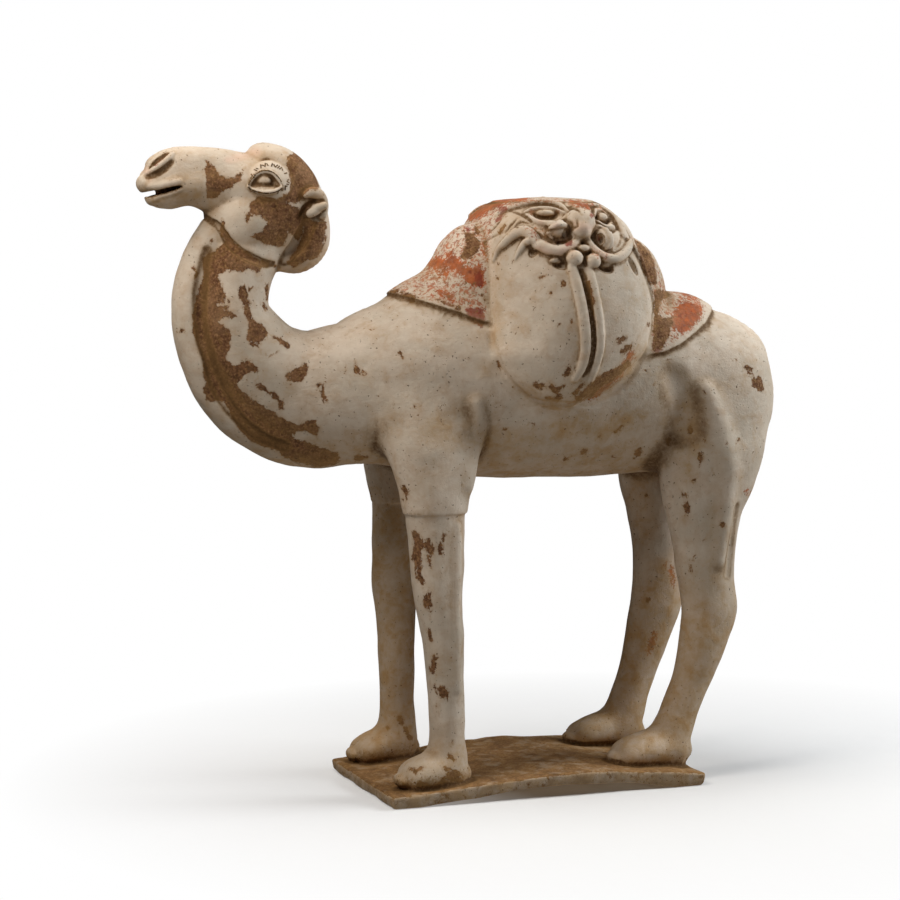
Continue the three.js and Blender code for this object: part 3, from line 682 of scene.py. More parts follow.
def skin_mesh(clay, name):
    """The clay's surface as a mesh in metres, with one point for each grid cell that it crosses."""
    inside = clay.field < 0
    count = np.array(inside.shape)
    corners = [tuple(slice(o, n - 1 + o) for o, n in zip(offset, count)) for offset in np.ndindex(2, 2, 2)]
    filled = np.zeros(count - 1, np.uint8)
    for corner in corners:
        filled += inside[corner]
    cells = np.flatnonzero((filled > 0) & (filled < 8))
    base = np.stack(np.unravel_index(cells, filled.shape), axis=1)
    total = np.zeros((len(cells), 3))
    crossings = np.zeros(len(cells))
    for axis in range(3):
        step = np.eye(3, dtype=int)[axis]
        for offset in np.ndindex(2, 2, 2):
            if offset[axis]:
                continue
            start = base + np.array(offset)
            a = clay.field[tuple(start.T)]
            b = clay.field[tuple((start + step).T)]
            crossed = (a < 0) != (b < 0)
            t = np.where(crossed, a / np.where(crossed, a - b, 1), 0)
            total[crossed] += (start + step * t[:, None])[crossed]
            crossings += crossed
    points = clay.settle(clay.low + total / crossings[:, None] * clay.step)

    number = np.full(filled.shape, -1, np.int32)
    number.ravel()[cells] = np.arange(len(cells))
    quads = []
    for axis in range(3):
        u, v = (axis + 1) % 3, (axis + 2) % 3
        first = [slice(1, n - 1) for n in count]
        first[axis] = slice(0, count[axis] - 1)
        second = list(first)
        second[axis] = slice(1, count[axis])
        one, two = inside[tuple(first)], inside[tuple(second)]
        where = np.argwhere(one != two) + np.array([s.start for s in first])
        outward = one[tuple((where - np.array([s.start for s in first])).T)]
        shift_u, shift_v = np.eye(3, dtype=int)[u], np.eye(3, dtype=int)[v]
        ring = [where - shift_u - shift_v, where - shift_v, where, where - shift_u]
        quad = np.stack([number[tuple(r.T)] for r in ring], axis=1)
        quad[~outward] = quad[~outward][:, ::-1]
        quads.append(quad)
    quads = np.vstack(quads)

    points[:, 0] += LAYOUT_SHIFT
    mesh = bpy.data.meshes.new(name)
    mesh.vertices.add(len(points))
    mesh.vertices.foreach_set("co", (points * MM).astype(np.float32).ravel())
    mesh.loops.add(quads.size)
    mesh.loops.foreach_set("vertex_index", quads.astype(np.int32).ravel())
    mesh.polygons.add(len(quads))
    mesh.polygons.foreach_set("loop_start", np.arange(0, quads.size, 4, dtype=np.int32))
    mesh.update(calc_edges=True)
    mesh.validate()
    mesh.shade_smooth()
    return mesh


def lay_camel(step):
    """The whole figure in clay, from the big forms down to the smallest marks."""
    clay = Clay(step, [-223, -85, -3], [216, 85, 414])
    lay_body(clay)
    pack = [[x, 0, z, deep, wide] for x, z, deep, wide in PACK]
    clay.lay_on(level_limb(pack, PACK_SQUARE), 1.6)
    clay.lay_on(slab_form(2.2), 2.5)
    lay_head(clay)
    for side in (NEAR, FAR_SIDE):
        lay_relief(clay, side)
    unevenness(clay, 17.0, 0.55, 3)
    unevenness(clay, 6.0, 0.16, 4)
    press_mouth(clay)
    for side in (NEAR, FAR_SIDE):
        lay_face(clay, side)
        lay_mask(clay, side)
    # Nothing reaches below the ground that the slab stands on.
    clay.field = np.maximum(clay.field, -clay.lines[2][None, None, :])
    return clay


# How strongly the thinning spares the head and the masks.
SPARING = 6e-5


def thinned(mesh, fine_part, most):
    """The mesh brought down to most triangles, the fine part of it least."""
    obj = bpy.data.objects.new(mesh.name, mesh)
    bpy.context.scene.collection.objects.link(obj)
    count = len(mesh.vertices)
    places = np.empty(count * 3, np.float32)
    mesh.vertices.foreach_get("co", places)
    fine = fine_part(places.reshape(-1, 3) / MM - [LAYOUT_SHIFT, 0, 0])
    group = obj.vertex_groups.new(name="fine")
    group.add(np.flatnonzero(fine).tolist(), 0.5, "REPLACE")
    thin = obj.modifiers.new("thin", "DECIMATE")
    thin.ratio = min(1.0, most / (2 * len(mesh.polygons)))
    thin.use_collapse_triangulate = True
    thin.vertex_group = "fine"
    thin.vertex_group_factor = SPARING
    thin.invert_vertex_group = True
    depsgraph = bpy.context.evaluated_depsgraph_get()
    result = bpy.data.meshes.new_from_object(obj.evaluated_get(depsgraph))
    bpy.data.objects.remove(obj)
    bpy.data.meshes.remove(mesh)
    result.shade_smooth()
    return result


# The viewer stands to the front of the near side and a little above the back.
VIEW_TURN = math.radians(-20.0)
VIEW_TILT = math.radians(4.3)
VIEW_REACH = 1546.0
VIEW_AIM = np.array([-12.6, 0.0, 217.0])
VIEW_BACK = np.array([math.sin(VIEW_TURN) * math.cos(VIEW_TILT), -math.cos(VIEW_TURN) * math.cos(VIEW_TILT),
                      math.sin(VIEW_TILT)])
VIEW_RIGHT = np.array([math.cos(VIEW_TURN), math.sin(VIEW_TURN), 0.0])
VIEW_UP = np.cross(VIEW_BACK, VIEW_RIGHT)
LENS = 96.0
SENSOR = 36.0
SHEET = 900.0

# Places where the slip, the paint or the soil is, each [across, down, radius] on a sheet held upright
# before the viewer, 900 wide and 900 high. Two numbers a point make a closed outline.
BARE = [
    [[415, 533, 3.6], [419, 545, 5], [415, 557, 4], [419, 566, 3]], [[427, 541, 3.4], [432, 549, 3.8], [429, 556, 3]],
    [[418, 574, 3], [424, 586, 3.4]], [[440, 545, 2.8], [441, 552, 2.6]], [[427, 598, 3], [430, 610, 3.2]],
    [[528, 424, 3], [532, 426, 2.6]], [[552, 441, 3.4]], [[576, 433, 3], [580, 431, 2.4]], [[600, 437, 2.8]],
    [[617, 431, 3.6], [622, 428, 2.8]], [[505, 431, 2.6]], [[642, 419, 2.8]], [[690, 431, 3.4]], [[701, 456, 3.6]],
    [[694, 481, 2.8]], [[712, 471, 3]], [[686, 506, 3.6], [688, 511, 2.8]], [[704, 541, 2.8]], [[691, 563, 3.2]],
    [[668, 441, 3.2]], [[740, 441, 2.6]], [[417, 405, 2.8]], [[405, 395, 2.5]], [[400, 352, 2.7], [403, 357, 2.4]],
    [[551, 386, 2.6], [557, 391, 3], [563, 387, 2.4]], [[566, 378, 2.4], [569, 369, 3], [567, 361, 2.4]],
    [[583, 383, 2.4], [576, 393, 2.8]], [[612, 372, 2.6], [620, 366, 2.4]], [[623, 352, 2.6], [627, 347, 2.4]],
    [[556, 400, 2.4], [562, 397, 2]], [[541, 386, 2.6]], [[618, 342, 3], [624, 338, 2.6]],
    [[649, 325, 2.2]], [[571, 322, 2.4]], [[560, 326, 2.8]], [[548, 297, 2.2]], [[640, 396, 2.4]],
    [[355, 367, 3], [357, 372, 3]], [[364, 373, 2.8]], [[584, 452, 3.2]], [[566, 459, 2.8]], [[648, 600, 2.8]],
    [[289, 164, 3], [295, 178, 4], [292, 194, 4], [277, 203.5, 3.4], [262, 201, 2.4], [254, 196, 1.4]],
    [[206, 160], [213, 165], [219, 173], [226, 179], [235, 177], [246, 167], [240, 180], [232, 188],
     [222, 192], [216, 198], [206, 199]],
    [[250, 202], [262, 196], [276, 199], [290, 204], [303, 213], [304, 232], [298, 242], [288, 232],
     [284, 246], [274, 247], [262, 243], [249, 236], [258, 233], [262, 231], [268, 222], [261, 216],
     [252, 215], [247, 224], [244, 219], [249, 212]],
    [[286, 157], [293, 152], [301, 157], [310, 166], [318, 181], [319, 190], [309, 190], [303, 195],
     [300, 203], [288, 203], [282, 200], [291, 193], [294, 180], [291, 169]],
    [[300, 214], [312, 221], [326, 222], [325, 240], [320, 256], [306, 261], [292, 268], [287, 262],
     [299, 245], [304, 230]],
    [[222, 219], [219, 231], [224, 242], [213, 252], [202, 258], [204, 272], [201, 287], [195, 300],
     [192, 318], [193, 335], [199, 349], [203, 358], [203, 374], [207, 384], [201, 388], [206, 400],
     [213, 403], [218, 399], [227, 406], [232, 418], [240, 431], [250, 441], [262, 446], [278, 452],
     [285, 458], [300, 464], [318, 467], [334, 466], [340, 460], [337, 452], [326, 449], [312, 443],
     [297, 440], [291, 436], [299, 431], [308, 431], [316, 437], [320, 434], [317, 421], [307, 420],
     [300, 425], [288, 421], [276, 414], [264, 406], [251, 399], [243, 391], [236, 384], [242, 377],
     [250, 373], [259, 371], [254, 363], [246, 359], [240, 364], [232, 365], [226, 359], [229, 350],
     [231, 341], [233, 333], [225, 328], [218, 321], [223, 317], [231, 318], [238, 318], [237, 315],
     [229, 311], [218, 306], [216, 302], [224, 301], [226, 296], [224, 287], [218, 280], [219, 275],
     [227, 270], [239, 273], [248, 268], [257, 273], [262, 268], [276, 266], [268, 262], [256, 258],
     [240, 248], [229, 235]],
    [[240, 285], [252, 284], [254, 289], [248, 293], [242, 299], [237, 297]],
    [[246, 300, 3], [247, 309, 3.5], [250, 319, 2.5]],
    [[248, 325], [256, 321], [264, 326], [269, 335], [262, 341], [255, 343], [251, 350], [247, 341]],
    [[224, 304, 1.8], [231, 301, 1.6]], [[263, 305, 2.2], [266, 309, 1]], [[267, 283, 1.6], [267, 300, 1.6]],
    [[274, 337, 1.8], [281, 341, 2.2], [288, 346, 2.6]], [[268, 355, 3]], [[262, 352, 1.2]], [[278, 353, 1.2]],
    [[285, 376], [292, 370], [300, 367], [304, 362], [308, 364], [308, 374], [303, 381], [295, 383], [288, 381]],
    [[256, 383, 2.6], [262, 388, 3]], [[268, 391, 2.2], [275, 396, 2.6], [281, 402, 3], [281, 410, 2]],
    [[317, 386, 1.8], [322, 382, 1.6]], [[321, 392, 2], [324, 397, 2.8], [326, 402, 1.8]],
    [[355, 360, 0.8], [357, 367, 1.2], [354, 374, 0.8]], [[346, 366, 0.6], [345, 374, 0.8]],
    [[356, 458, 2.6], [366, 457, 2.0]], [[390, 428, 1.2]], [[382, 463, 1]],
    [[178, 331, 1.4], [190, 332, 1.8]], [[193, 268, 1.4], [197, 273, 1.6], [195, 278, 1.2]], [[212, 241, 1.8]],
    [[403, 487, 2.4], [407, 494, 2.8], [404, 500, 2.6]], [[417, 540, 1.8], [418, 548, 2], [424, 546, 2]],
    [[426, 540, 2.2], [428, 548, 3.2], [432, 552, 3.8]], [[416, 560, 2.4], [419, 567, 3], [418, 574, 1.6]],
    [[423, 578, 2.6]], [[429, 562, 1.4], [432, 570, 1]], [[427, 587, 1.8], [430, 594, 1.4]],
    [[441, 532, 1.4], [445, 535, 2]], [[443, 560, 2.2]], [[453, 583, 1.2]], [[425, 601, 1.4], [427, 610, 1.8]],
    [[428, 628, 1.6], [431, 640, 1.8]], [[432, 658, 2.2], [437, 655, 2]], [[432, 668, 3], [434, 674, 2.4]],
    [[441, 688, 3.4], [444, 694, 5], [447, 699, 2.4]], [[434, 682, 1.2], [436, 692, 1.6]], [[436, 706, 1.2]],
    [[435, 729, 1.1]], [[456, 670, 1]], [[452, 743, 2.6]], [[449, 756, 2.6], [455, 760, 2]], [[441, 716, 1]],
    [[409, 768, 1.6], [415, 771, 2.6], [426, 767, 1.4]], [[444, 768, 1.6], [450, 772, 4], [462, 775, 2]],
    [[404, 783, 2.4], [410, 788, 1.6]], [[420, 785, 3.6], [436, 788, 3.2], [447, 778, 3.2], [460, 781, 2.6]],
    [[399, 717, 2.6], [402, 725, 3]], [[388, 728, 2.6]], [[407, 730, 2.2], [410, 738, 2.6]], [[394, 712, 1.1]],
    [[378, 489, 1.6]], [[366, 492, 2.4], [371, 496, 1.6]], [[388, 505, 1.4]], [[398, 529, 1.8]], [[386, 692, 1.6]],
    [[745, 366, 2.4], [750, 368, 2], [747, 375, 2.2]], [[752, 376, 2.2], [755, 384, 3.8], [760, 388, 4], [758, 379, 3]],
    [[736, 361, 1.5], [732, 358, 1]], [[705, 392, 1.8], [701, 389, 1]], [[640, 451, 3], [635, 456, 2.4]],
    [[616, 459, 2], [613, 456, 1.2]], [[611, 474, 1.8]], [[668, 446, 2.2]], [[655, 442, 1.2]],
    [[646, 497, 2.6]], [[656, 489, 1.6]], [[712, 448, 1.4], [715, 452, 1.4]], [[726, 443, 1.2]], [[737, 443, 1.2]],
    [[682, 490, 1.6], [685, 496, 2]], [[686, 508, 1.4], [687, 515, 1.2]], [[720, 522, 2], [724, 525, 2.6]],
    [[688, 569, 1.4], [694, 574, 2]], [[696, 556, 1.2]], [[700, 532, 1.2]], [[720, 630, 1.6]], [[715, 475, 1.2]],
    [[690, 418, 1.6]], [[708, 423, 1.2]], [[737, 418, 1.2]], [[699, 466, 1.2]], [[705, 440, 1.2]],
    [[634, 239], [643, 246], [651, 254], [655, 264], [657, 278], [656, 285], [650, 286], [643, 270]],
    [[653, 288], [660, 290], [670, 292], [669, 297], [661, 302], [658, 314], [662, 318], [676, 317],
     [672, 326], [668, 340], [660, 350], [652, 352], [654, 320]],
    [[476, 228, 2.4], [478, 233, 2]], [[463, 230], [470, 233], [478, 237], [480, 246], [477, 254], [470, 258],
                                       [461, 260], [460, 255], [466, 246], [465, 238]],
    [[392, 291, 1.8], [397, 291, 1.6], [407, 295, 1.8], [414, 296, 2.6], [411, 301, 1.8]],
    [[418, 297, 0.7], [430, 299, 0.7], [440, 301, 1], [451, 305, 1.4], [462, 309, 1.4]],
    [[483, 293, 2.2], [484, 298, 2.4]], [[435, 277, 1.6]], [[448, 279, 1.2]], [[473, 292, 1.6]],
    [[536, 385, 3.6], [540, 389, 1.6]], [[553, 387, 2], [556, 391, 2.4]], [[547, 398, 2], [553, 399, 1.6]],
    [[566, 361, 1.4], [569, 367, 2.2], [570, 372, 1.4]], [[552, 289, 2.4], [550, 296, 1.6]], [[563, 284, 3.6]],
    [[524, 333, 1.1]], [[536, 323, 0.9]], [[544, 370, 1.4]], [[497, 361, 1], [501, 370, 1.4]], [[514, 387, 1.8]],
    [[548, 275, 1.2], [540, 278, 1]], [[569, 273, 1.2]], [[497, 279, 1.2]], [[498, 264, 1.2]], [[616, 320, 1.2]],
    [[578, 398, 3], [590, 391, 5], [602, 380, 5.4], [615, 373, 4.6], [627, 364, 3.8]], [[625, 352, 2.4], [632, 344, 2]],
    [[506, 216, 1.6]], [[500, 232, 2], [505, 226, 1.6]], [[588, 283, 2.6], [591, 300, 3], [593, 316, 2]],
    [[668, 361, 0.9], [674, 358, 1]], [[646, 371, 1.6], [652, 369, 1.2]], [[658, 366, 1]], [[640, 395, 2]],
    [[655, 385, 1.4]], [[640, 428, 1.6]], [[580, 322, 1.6]], [[579, 338, 1]],
]
ORANGE = [
    [[466, 222], [470, 212], [480, 204], [495, 197], [515, 195], [531, 196], [527, 202], [510, 203], [498, 208],
     [486, 215], [478, 220]],
    [[424, 264], [432, 258], [438, 255], [446, 259], [450, 250], [455, 254], [459, 258], [464, 264], [472, 266],
     [480, 264], [485, 273], [486, 283], [482, 289], [472, 287], [462, 281], [455, 270], [446, 265], [440, 272],
     [430, 268]],
    [[484, 244, 3], [485, 257, 3]], [[440, 274, 3], [450, 272, 3]], [[437, 291, 2], [448, 295, 3], [456, 300, 3]],
    [[424, 288, 1.6]], [[572, 202, 4], [583, 205, 3.6], [594, 207, 3]],
    [[678, 304], [686, 299], [697, 303], [704, 306], [702, 315], [699, 321], [690, 331], [683, 336], [675, 331],
     [670, 323], [667, 318], [675, 311]],
    [[658, 283, 1.6], [668, 286, 1.6]], [[590, 399, 3], [604, 388, 3], [620, 374, 3], [632, 352, 3]],
    [[684, 294, 2.4], [696, 299, 2.4]], [[668, 566, 4], [672, 576, 3], [674, 586, 2.6]],
    [[654, 632, 3], [652, 644, 4], [648, 652, 3]], [[748, 492, 3]], [[612, 470, 1.6]],
]
# Where paint is left as a thin, spotted wash.
WASH = [
    [[384, 290], [400, 276], [425, 262], [434, 240], [448, 226], [462, 216], [474, 206], [488, 202], [498, 214],
     [492, 240], [488, 270], [488, 320], [476, 322], [450, 308], [420, 300]],
    [[656, 285], [676, 284], [700, 296], [710, 312], [700, 324], [680, 342], [656, 356], [650, 330]],
    [[470, 215], [490, 200], [530, 194], [580, 196], [606, 206], [600, 212], [560, 204], [520, 206], [492, 216]],
    [[628, 232], [648, 246], [662, 270], [668, 296], [652, 300], [646, 270]],
    [[560, 408], [590, 402], [625, 380], [640, 352], [632, 350], [606, 380], [576, 396]],
    [[520, 222], [548, 228], [552, 240], [530, 240]], [[590, 246], [612, 252], [620, 244], [606, 262], [592, 258]],
]
DEEP_RED = [
    [[464, 309], [471, 307], [484, 308], [485, 320], [482, 329], [476, 324], [469, 320]],
    [[440, 301, 1], [448, 304, 2], [454, 306, 2]], [[478, 276, 4.4], [480, 284, 4]], [[470, 272, 2]],
    [[500, 209, 3], [506, 209, 2.4], [499, 219, 2.4], [496, 222, 2]], [[468, 229, 2.6]],
    [[532, 212, 3.4]], [[557, 212, 2.6]], [[592, 215, 2.6]], [[568, 242, 4.4]], [[598, 238, 3.6]],
    [[653, 326], [660, 332], [666, 340], [664, 348], [658, 357], [652, 352]], [[656, 322, 2], [662, 333, 3]],
    [[155, 165, 1.0], [161, 159, 1.6], [167, 154, 1.2]], [[303, 211, 2.4], [308, 204, 2.4], [313, 200, 1.6]],
    [[154, 194, 1.4], [162, 191.6, 2.2], [173, 188.6, 1.8]],
    [[381, 480, 2], [390, 482, 2.6]], [[590, 400, 2.4]], [[604, 211, 1.4]], [[690, 311, 2]], [[681, 316, 2.4]],
]
PINK = [
    [[552, 235, 3], [556, 226, 3]], [[574, 226, 5], [590, 228, 4]], [[540, 250, 4], [556, 255, 3], [574, 246, 4]],
    [[594, 250, 3], [606, 258, 3]], [[146, 170, 4], [150, 178, 3]], [[228, 160, 3], [256, 152, 5]],
    [[540, 222, 3]], [[556, 240, 3]],
]
STAIN = [
    [[652, 560], [676, 552], [678, 600], [664, 640], [650, 656], [638, 640], [644, 600]],
    [[570, 740], [600, 736], [622, 742], [618, 752], [580, 752]],
    [[150, 196], [163, 201], [184, 203], [202, 200], [206, 206], [190, 206], [160, 208], [150, 202]],
    [[178, 180], [188, 176], [200, 182], [200, 194], [188, 192], [180, 188]],
    [[246, 158], [262, 150], [284, 152], [294, 162], [280, 160], [262, 160], [250, 168]],
    [[284, 262], [296, 244], [302, 232], [306, 244], [296, 262]],
    [[160, 201, 2], [172, 201, 3.4], [186, 196, 4.4], [198, 197, 3]], [[206, 204, 4], [212, 214, 4], [206, 226, 3]],
    [[440, 430, 16], [455, 440, 10]], [[352, 470, 8]], [[690, 405, 13], [690, 440, 14], [684, 480, 8]],
    [[560, 425, 14], [610, 425, 12], [640, 415, 8]], [[490, 440, 12], [520, 440, 14]], [[384, 480, 12], [390, 520, 14]],
    [[390, 560, 16], [392, 620, 16], [396, 680, 12]], [[640, 490, 14], [645, 530, 14]], [[630, 370, 8], [640, 350, 6]],
    [[400, 740, 8], [380, 757, 5], [360, 760, 4]], [[690, 650, 14], [680, 700, 14], [660, 745, 16]],
    [[570, 735, 8], [600, 742, 8]], [[500, 270, 5], [497, 300, 4], [497, 340, 5]], [[512, 218, 5], [500, 228, 5]],
    [[486, 370, 8]], [[640, 640, 6], [630, 680, 6]], [[700, 620, 8]], [[460, 750, 6]],
]


def on_sheet(places):
    """Where points, in mm, fall on the sheet: across and down."""
    rays = places - (VIEW_AIM + VIEW_BACK * VIEW_REACH)
    depth = -(rays @ VIEW_BACK)
    scale = LENS / SENSOR * SHEET / depth
    return np.column_stack([SHEET / 2 + rays @ VIEW_RIGHT * scale, SHEET / 2 - rays @ VIEW_UP * scale])


def reach_in(flat, marks):
    """How deep each point of the sheet lies inside the marks, below 0 outside."""
    best = np.full(len(flat), -40.0)
    for mark in marks:
        mark = np.asarray(mark, float)
        outline = mark.shape[1] == 2
        ends = np.roll(mark, -1, axis=0) if outline else np.vstack([mark[1:], mark[-1:]])
        near = np.all((flat > mark[:, :2].min(0) - 40) & (flat < mark[:, :2].max(0) + 40), axis=1)
        spot = flat[near]
        if not len(spot):
            continue
        inside = np.zeros(len(spot), bool)
        depth = np.full(len(spot), -1e9)
        for a, b in zip(mark, ends):
            step = b[:2] - a[:2]
            away = spot - a[:2]
            t = np.clip((away @ step) / max(step @ step, 1e-9), 0, 1)
            gap = np.linalg.norm(away - t[:, None] * step, axis=1)
            radius = 0.0 if outline else a[2] + (b[2] - a[2]) * t
            depth = np.maximum(depth, radius - gap)
            if outline and a[1] != b[1]:
                crossed = (a[1] > spot[:, 1]) != (b[1] > spot[:, 1])
                cut = a[0] + (spot[:, 1] - a[1]) * step[0] / step[1]
                inside ^= crossed & (spot[:, 0] < cut)
        if outline:
            depth = np.where(inside, -depth, depth)
        best[near] = np.maximum(best[near], depth)
    return best


def mark_values(places, outward, marks, plainer):
    """The marks as seen on the near side, and the same ones plainer on the hidden side."""
    total = np.full(len(places), -6.0)
    share = np.zeros(len(places))
    for side, less in ((NEAR, 0.0), (FAR_SIDE, plainer)):
        seen = places * [1, -side, 1]
        facing = outward * [1, -side, 1]
        toward = (VIEW_AIM + VIEW_BACK * VIEW_REACH) - seen
        toward = toward / np.linalg.norm(toward, axis=1, keepdims=True)
        turned = np.clip((facing * toward).sum(1) * 5 + 0.6, 0, 1) * (1 - share)
        depth = np.maximum(reach_in(on_sheet(seen), marks) - less, -6)
        total = total * (1 - turned) + depth * turned
        share = np.maximum(share, turned)
    return total


def set_marks(mesh, clay):
    """Writes on each point of the mesh how worn, painted, soiled and hollow it is, and where it gets
    painted shade and a painted highlight. Gives the marks' names.
    """
    count = len(mesh.vertices)
    places = np.empty(count * 3, np.float32)
    outward = np.empty(count * 3, np.float32)
    mesh.vertices.foreach_get("co", places)
    mesh.vertex_normals.foreach_get("vector", outward)
    places = places.reshape(-1, 3).astype(float) / MM
    outward = outward.reshape(-1, 3).astype(float)
    layout = places - [LAYOUT_SHIFT, 0, 0]
    x, y, z = layout.T

    values = {name: mark_values(places, outward, marks, 2.5)
              for name, marks in (("bare", BARE), ("orange", ORANGE), ("deep_red", DEEP_RED), ("pink", PINK),
                                  ("wash", WASH), ("stain", STAIN))}
    on_slab = slab_form(0.5).distance(x, y, z) < 2.0
    slab_top = on_slab & (outward[:, 2] > 0.6)
    values["wash"] = np.clip(values["wash"], -9, 4)
    values["slab"] = np.where(on_slab, np.where(slab_top, 1.0, 0.56), 0.0)

    def share(value, low, high):
        return np.clip((value - low) / (high - low), 0, 1)

    foot = share(z, 55, 12)
    hind = share(z, 150, 90) * share(x, 60, 90)
    far_fore = share(z, 200, 150) * share(y, 0, 30) * share(x, 20, 0)
    # Faces that look down get a soil film, which also darkens them as painted shade under the body.
    under = share(-outward[:, 2], 0.25, 0.9) * share(z, 150, 190)
    film = np.maximum.reduce([foot * 0.7, hind, far_fore, under, np.where(slab_top, 0.8, 1.0) * on_slab])
    values["film"] = np.clip(film + share(values.pop("stain"), -6, 8) * 0.75, 0, 1)
    sole = share(z, 26, 13) * (1 - on_slab) * share(outward[:, 2], 0.8, 0.3)
    values["crust"] = sole * np.where(x > 60, 0.55, 1.0)
    values["upright"] = share(z, 215, 190) * (1 - on_slab)

    # Creases take soil, and the wider hollows, read 8 mm out, are darkened further as painted shade.
    crease = 1 - clay.reading(layout + outward * 2.0) / 2.0
    hollow = 1 - clay.reading(layout + outward * 8.0) / 8.0
    # The bags were luted on and smoothed down, so that less soil and less painted shade lie along their foot.
    seam = share(reach_in(np.column_stack([x, z]), [[[*mark[:2], 8] for mark in PACK_SEAM]]), 0, 4)
    cavity = share(crease, 0.04, 0.34) + share(hollow, 0.15, 0.75) * 0.22
    values["cavity"] = np.clip(cavity, 0, 1) * (1 - 0.6 * seam)
    # How sharply the clay turns outward, for a painted highlight on its edges.
    values["edge"] = share(1 + clay.reading(layout - outward * 1.6) / 1.6, 0.25, 0.9) * (1 - 0.8 * on_slab)
    for name, value in values.items():
        layer = mesh.attributes.new(name, "FLOAT", "POINT")
        layer.data.foreach_set("value", np.ascontiguousarray(value, np.float32))
    return list(values)


def linear(code):
    """An sRGB hex colour as the linear red, green and blue that shaders want."""
    parts = [int(code[i:i + 2], 16) / 255 for i in (1, 3, 5)]
    return [c / 12.92 if c <= 0.04045 else ((c + 0.055) / 1.055) ** 2.4 for c in parts] + [1.0]


def add(tree, kind, links=None, out=0, **settings):
    """A node with its settings; links gives a value or another node's output for each of its inputs.
    Gives the node's output out, or the node itself where out is None."""
    node = tree.nodes.new(kind)
    for name, value in settings.items():
        setattr(node, name, value)
    for key, value in (links or {}).items():
        if isinstance(value, bpy.types.NodeSocket):
            tree.links.new(value, node.inputs[key])
        else:
            node.inputs[key].default_value = value
    return node if out is None else node.outputs[out]


MATH = "ShaderNodeMath"
MIX = "ShaderNodeMix"
RANGE = "ShaderNodeMapRange"


def new_material(name):
    """An empty material and its tree."""
    material = bpy.data.materials.new(name)
    material.use_nodes = True
    material.node_tree.nodes.clear()
    return material, material.node_tree


def patterns(tree, rows):
    """A material's cloudy patterns by name. A row gives the distance between features in mm, the detail,
    its roughness, how much it is warped, and the stretch, below 1 where it is drawn out."""
    place = add(tree, "ShaderNodeTexCoord", out="Object")
    found = {}
    for name, (grain, detail, rough, warp, stretch) in rows.items():
        drawn = add(tree, "ShaderNodeMapping", {"Vector": place, "Scale": stretch})
        found[name] = add(tree, "ShaderNodeTexNoise", {
            "Vector": drawn, "W": 1.7 * len(found), "Scale": 1 / (grain * MM), "Detail": detail,
            "Roughness": rough, "Distortion": warp}, noise_dimensions="4D")
    return found


def finish_material(tree, colour, roughness, height, specular):
    """The surface shader over a relief; height is in mm."""
    relief = add(tree, "ShaderNodeBump", {"Strength": 1.0, "Distance": MM, "Height": height})
    shader = add(tree, "ShaderNodeBsdfPrincipled", {
        "Base Color": colour, "Roughness": roughness, "Normal": relief, "IOR": 1.5,
        "Specular IOR Level": specular})
    add(tree, "ShaderNodeOutputMaterial", {0: shader}, out=None)
    return shader


EVEN = (1.0, 1.0, 1.0)
# The clay's sand is about half a millimetre; it and the pinholes are drawn at about 1 mm, to show.
CAMEL_PATTERNS = {
    "sand": (1.5, 3.0, 0.6, 0.0, EVEN), "lumps": (5.0, 5.0, 0.65, 0.2, EVEN), "broad": (34.0, 4.0, 0.55, 0.4, EVEN),
    "middling": (9.0, 6.0, 0.65, 0.3, EVEN), "brush_level": (5.0, 5.0, 0.65, 0.8, (0.4, 0.7, 1.0)),
    "brush_upright": (5.0, 5.0, 0.65, 0.8, (1.0, 0.8, 0.3)), "torn": (2.6, 6.0, 0.72, 0.6, EVEN),
    "fine": (1.2, 3.0, 0.6, 0.0, EVEN), "ragged": (5.0, 9.0, 0.74, 0.5, EVEN), "speck": (2.4, 5.0, 0.66, 0.3, EVEN),
    "pit": (1.6, 2.0, 0.5, 0.0, EVEN), "dirt": (16.0, 7.0, 0.7, 0.8, EVEN),
}


